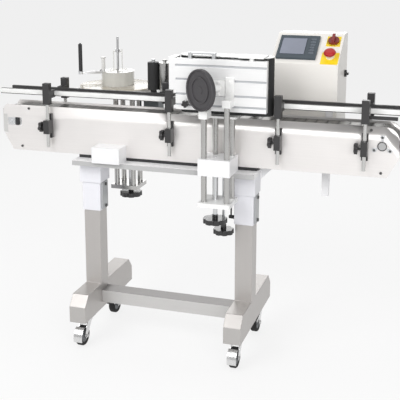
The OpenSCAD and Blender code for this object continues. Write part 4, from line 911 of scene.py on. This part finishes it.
screws = {"radius": 4.6, "height": 3.2, "socket": 2.3, "depth": 1.8, "sides": 24}
panels = {"front": -132.0, "back": -22.0, "low": 722.0, "high": 868.0}
cover = {"back": 249.6, "left": 299.0, "right": 480.0, "low": 818.0, "high": 1105.0}
screwPlaces = [  # name, finish, place, way that the head faces
    ("panel_screw_1", "screwDark", (-655.0, panels["front"], panels["low"]), "front"),
    ("panel_screw_2", "screwDark", (-622.0, panels["front"], panels["high"]), "front"),
    ("panel_screw_3", "screwDark", (688.0, panels["front"], panels["low"]), "front"),
    ("panel_screw_4", "screwDark", (652.0, panels["front"], panels["high"]), "front"),
    ("panel_screw_5", "screwDark", (-655.0, panels["back"], panels["low"]), "back"),
    ("panel_screw_6", "screwDark", (-622.0, panels["back"], panels["high"]), "back"),
    ("take_up_screw", "zinc", (-697.5, -132.3, 816.0), "front"),
    ("cover_screw_1", "screwDark", (cover["left"], cover["back"], cover["low"]), "back"),
    ("cover_screw_2", "screwDark", (cover["right"], cover["back"], cover["low"]), "back"),
    ("cover_screw_3", "screwDark", (cover["left"], cover["back"], cover["high"]), "back"),
    ("cover_screw_4", "screwDark", (cover["right"], cover["back"], cover["high"]), "back"),
    ("panel_screw_7", "screwDark", (600.0, panels["back"], panels["low"]), "back"),
    ("panel_screw_8", "screwDark", (600.0, panels["back"], panels["high"]), "back"),
]


def screwPattern():  # a cap screw with a round socket, standing on z = 0
    bpy.ops.object.select_all(action="DESELECT")
    bpy.ops.mesh.primitive_cylinder_add(
        vertices=screws["sides"], radius=screws["radius"] / 1000.0, depth=screws["height"] / 1000.0,
        location=(0.0, 0.0, screws["height"] / 2000.0))
    pattern = bpy.context.object
    settle(pattern)
    insetTop(pattern, screws["radius"] - screws["socket"], -screws["depth"])
    soften(pattern, edges["hair"])
    return pattern


def addScrews():
    pattern = screwPattern()
    turns = {
        "front": Matrix.Rotation(math.pi / 2, 4, "X"),
        "back": Matrix.Rotation(-math.pi / 2, 4, "X"),
    }
    for name, finish, place, way in screwPlaces:
        screw = bpy.data.objects.new(name, pattern.data.copy())
        bpy.context.scene.collection.objects.link(screw)
        settle(screw, at(*place) @ turns[way])
        paint(screw, [(finish, None)])
        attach(screw, "upper")
    bpy.data.objects.remove(pattern)


addScrews()
print("screws set:", len(screwPlaces))


# Floor and backdrop

stage = {"size": 30.0, "back": 6.0, "grey": 0.82, "glow": 0.80, "ambient": 0.42}
white = (1.0, 1.0, 1.0, 1.0)


def stageFinish():
    make = Finish("stageWhite")
    light = make.node("LightPath", output="Is Camera Ray")
    glossy = make.node("LightPath", output="Is Glossy Ray")
    through = make.node("LightPath", output="Is Transmission Ray")
    lit = make.node("BsdfDiffuse", None, {"Color": tone(*even, stage["grey"])})
    glow = make.node("Emission", None, {"Color": white, "Strength": 1.0})
    share = (light + glossy + through) * stage["glow"]
    mixed = make.node("MixShader", None, {0: share, 1: lit, 2: glow})
    return make.show(mixed)


def addFloor():
    bpy.ops.object.select_all(action="DESELECT")
    bpy.ops.mesh.primitive_plane_add(size=stage["size"], location=(0.0, stage["back"], 0.0))
    floor = bpy.context.object
    floor.name = "floor"
    floor.data.materials.append(stageFinish())


def addWorld():  # white where the camera sees it, dimmer as a light
    world = bpy.data.worlds.new("studio")
    bpy.context.scene.world = world
    world.use_nodes = True
    tree = world.node_tree
    tree.nodes.clear()
    path = tree.nodes.new("ShaderNodeLightPath")
    mix = tree.nodes.new("ShaderNodeMixShader")
    end = tree.nodes.new("ShaderNodeOutputWorld")
    tree.links.new(path.outputs["Is Camera Ray"], mix.inputs[0])
    for place, strength in ((1, stage["ambient"]), (2, 1.0)):
        sky = tree.nodes.new("ShaderNodeBackground")
        sky.inputs["Color"].default_value = white
        sky.inputs["Strength"].default_value = strength
        tree.links.new(sky.outputs[0], mix.inputs[place])
    tree.links.new(mix.outputs[0], end.inputs["Surface"])


addFloor()
addWorld()
bpy.context.scene.view_settings.view_transform = "Standard"
print("stage set")
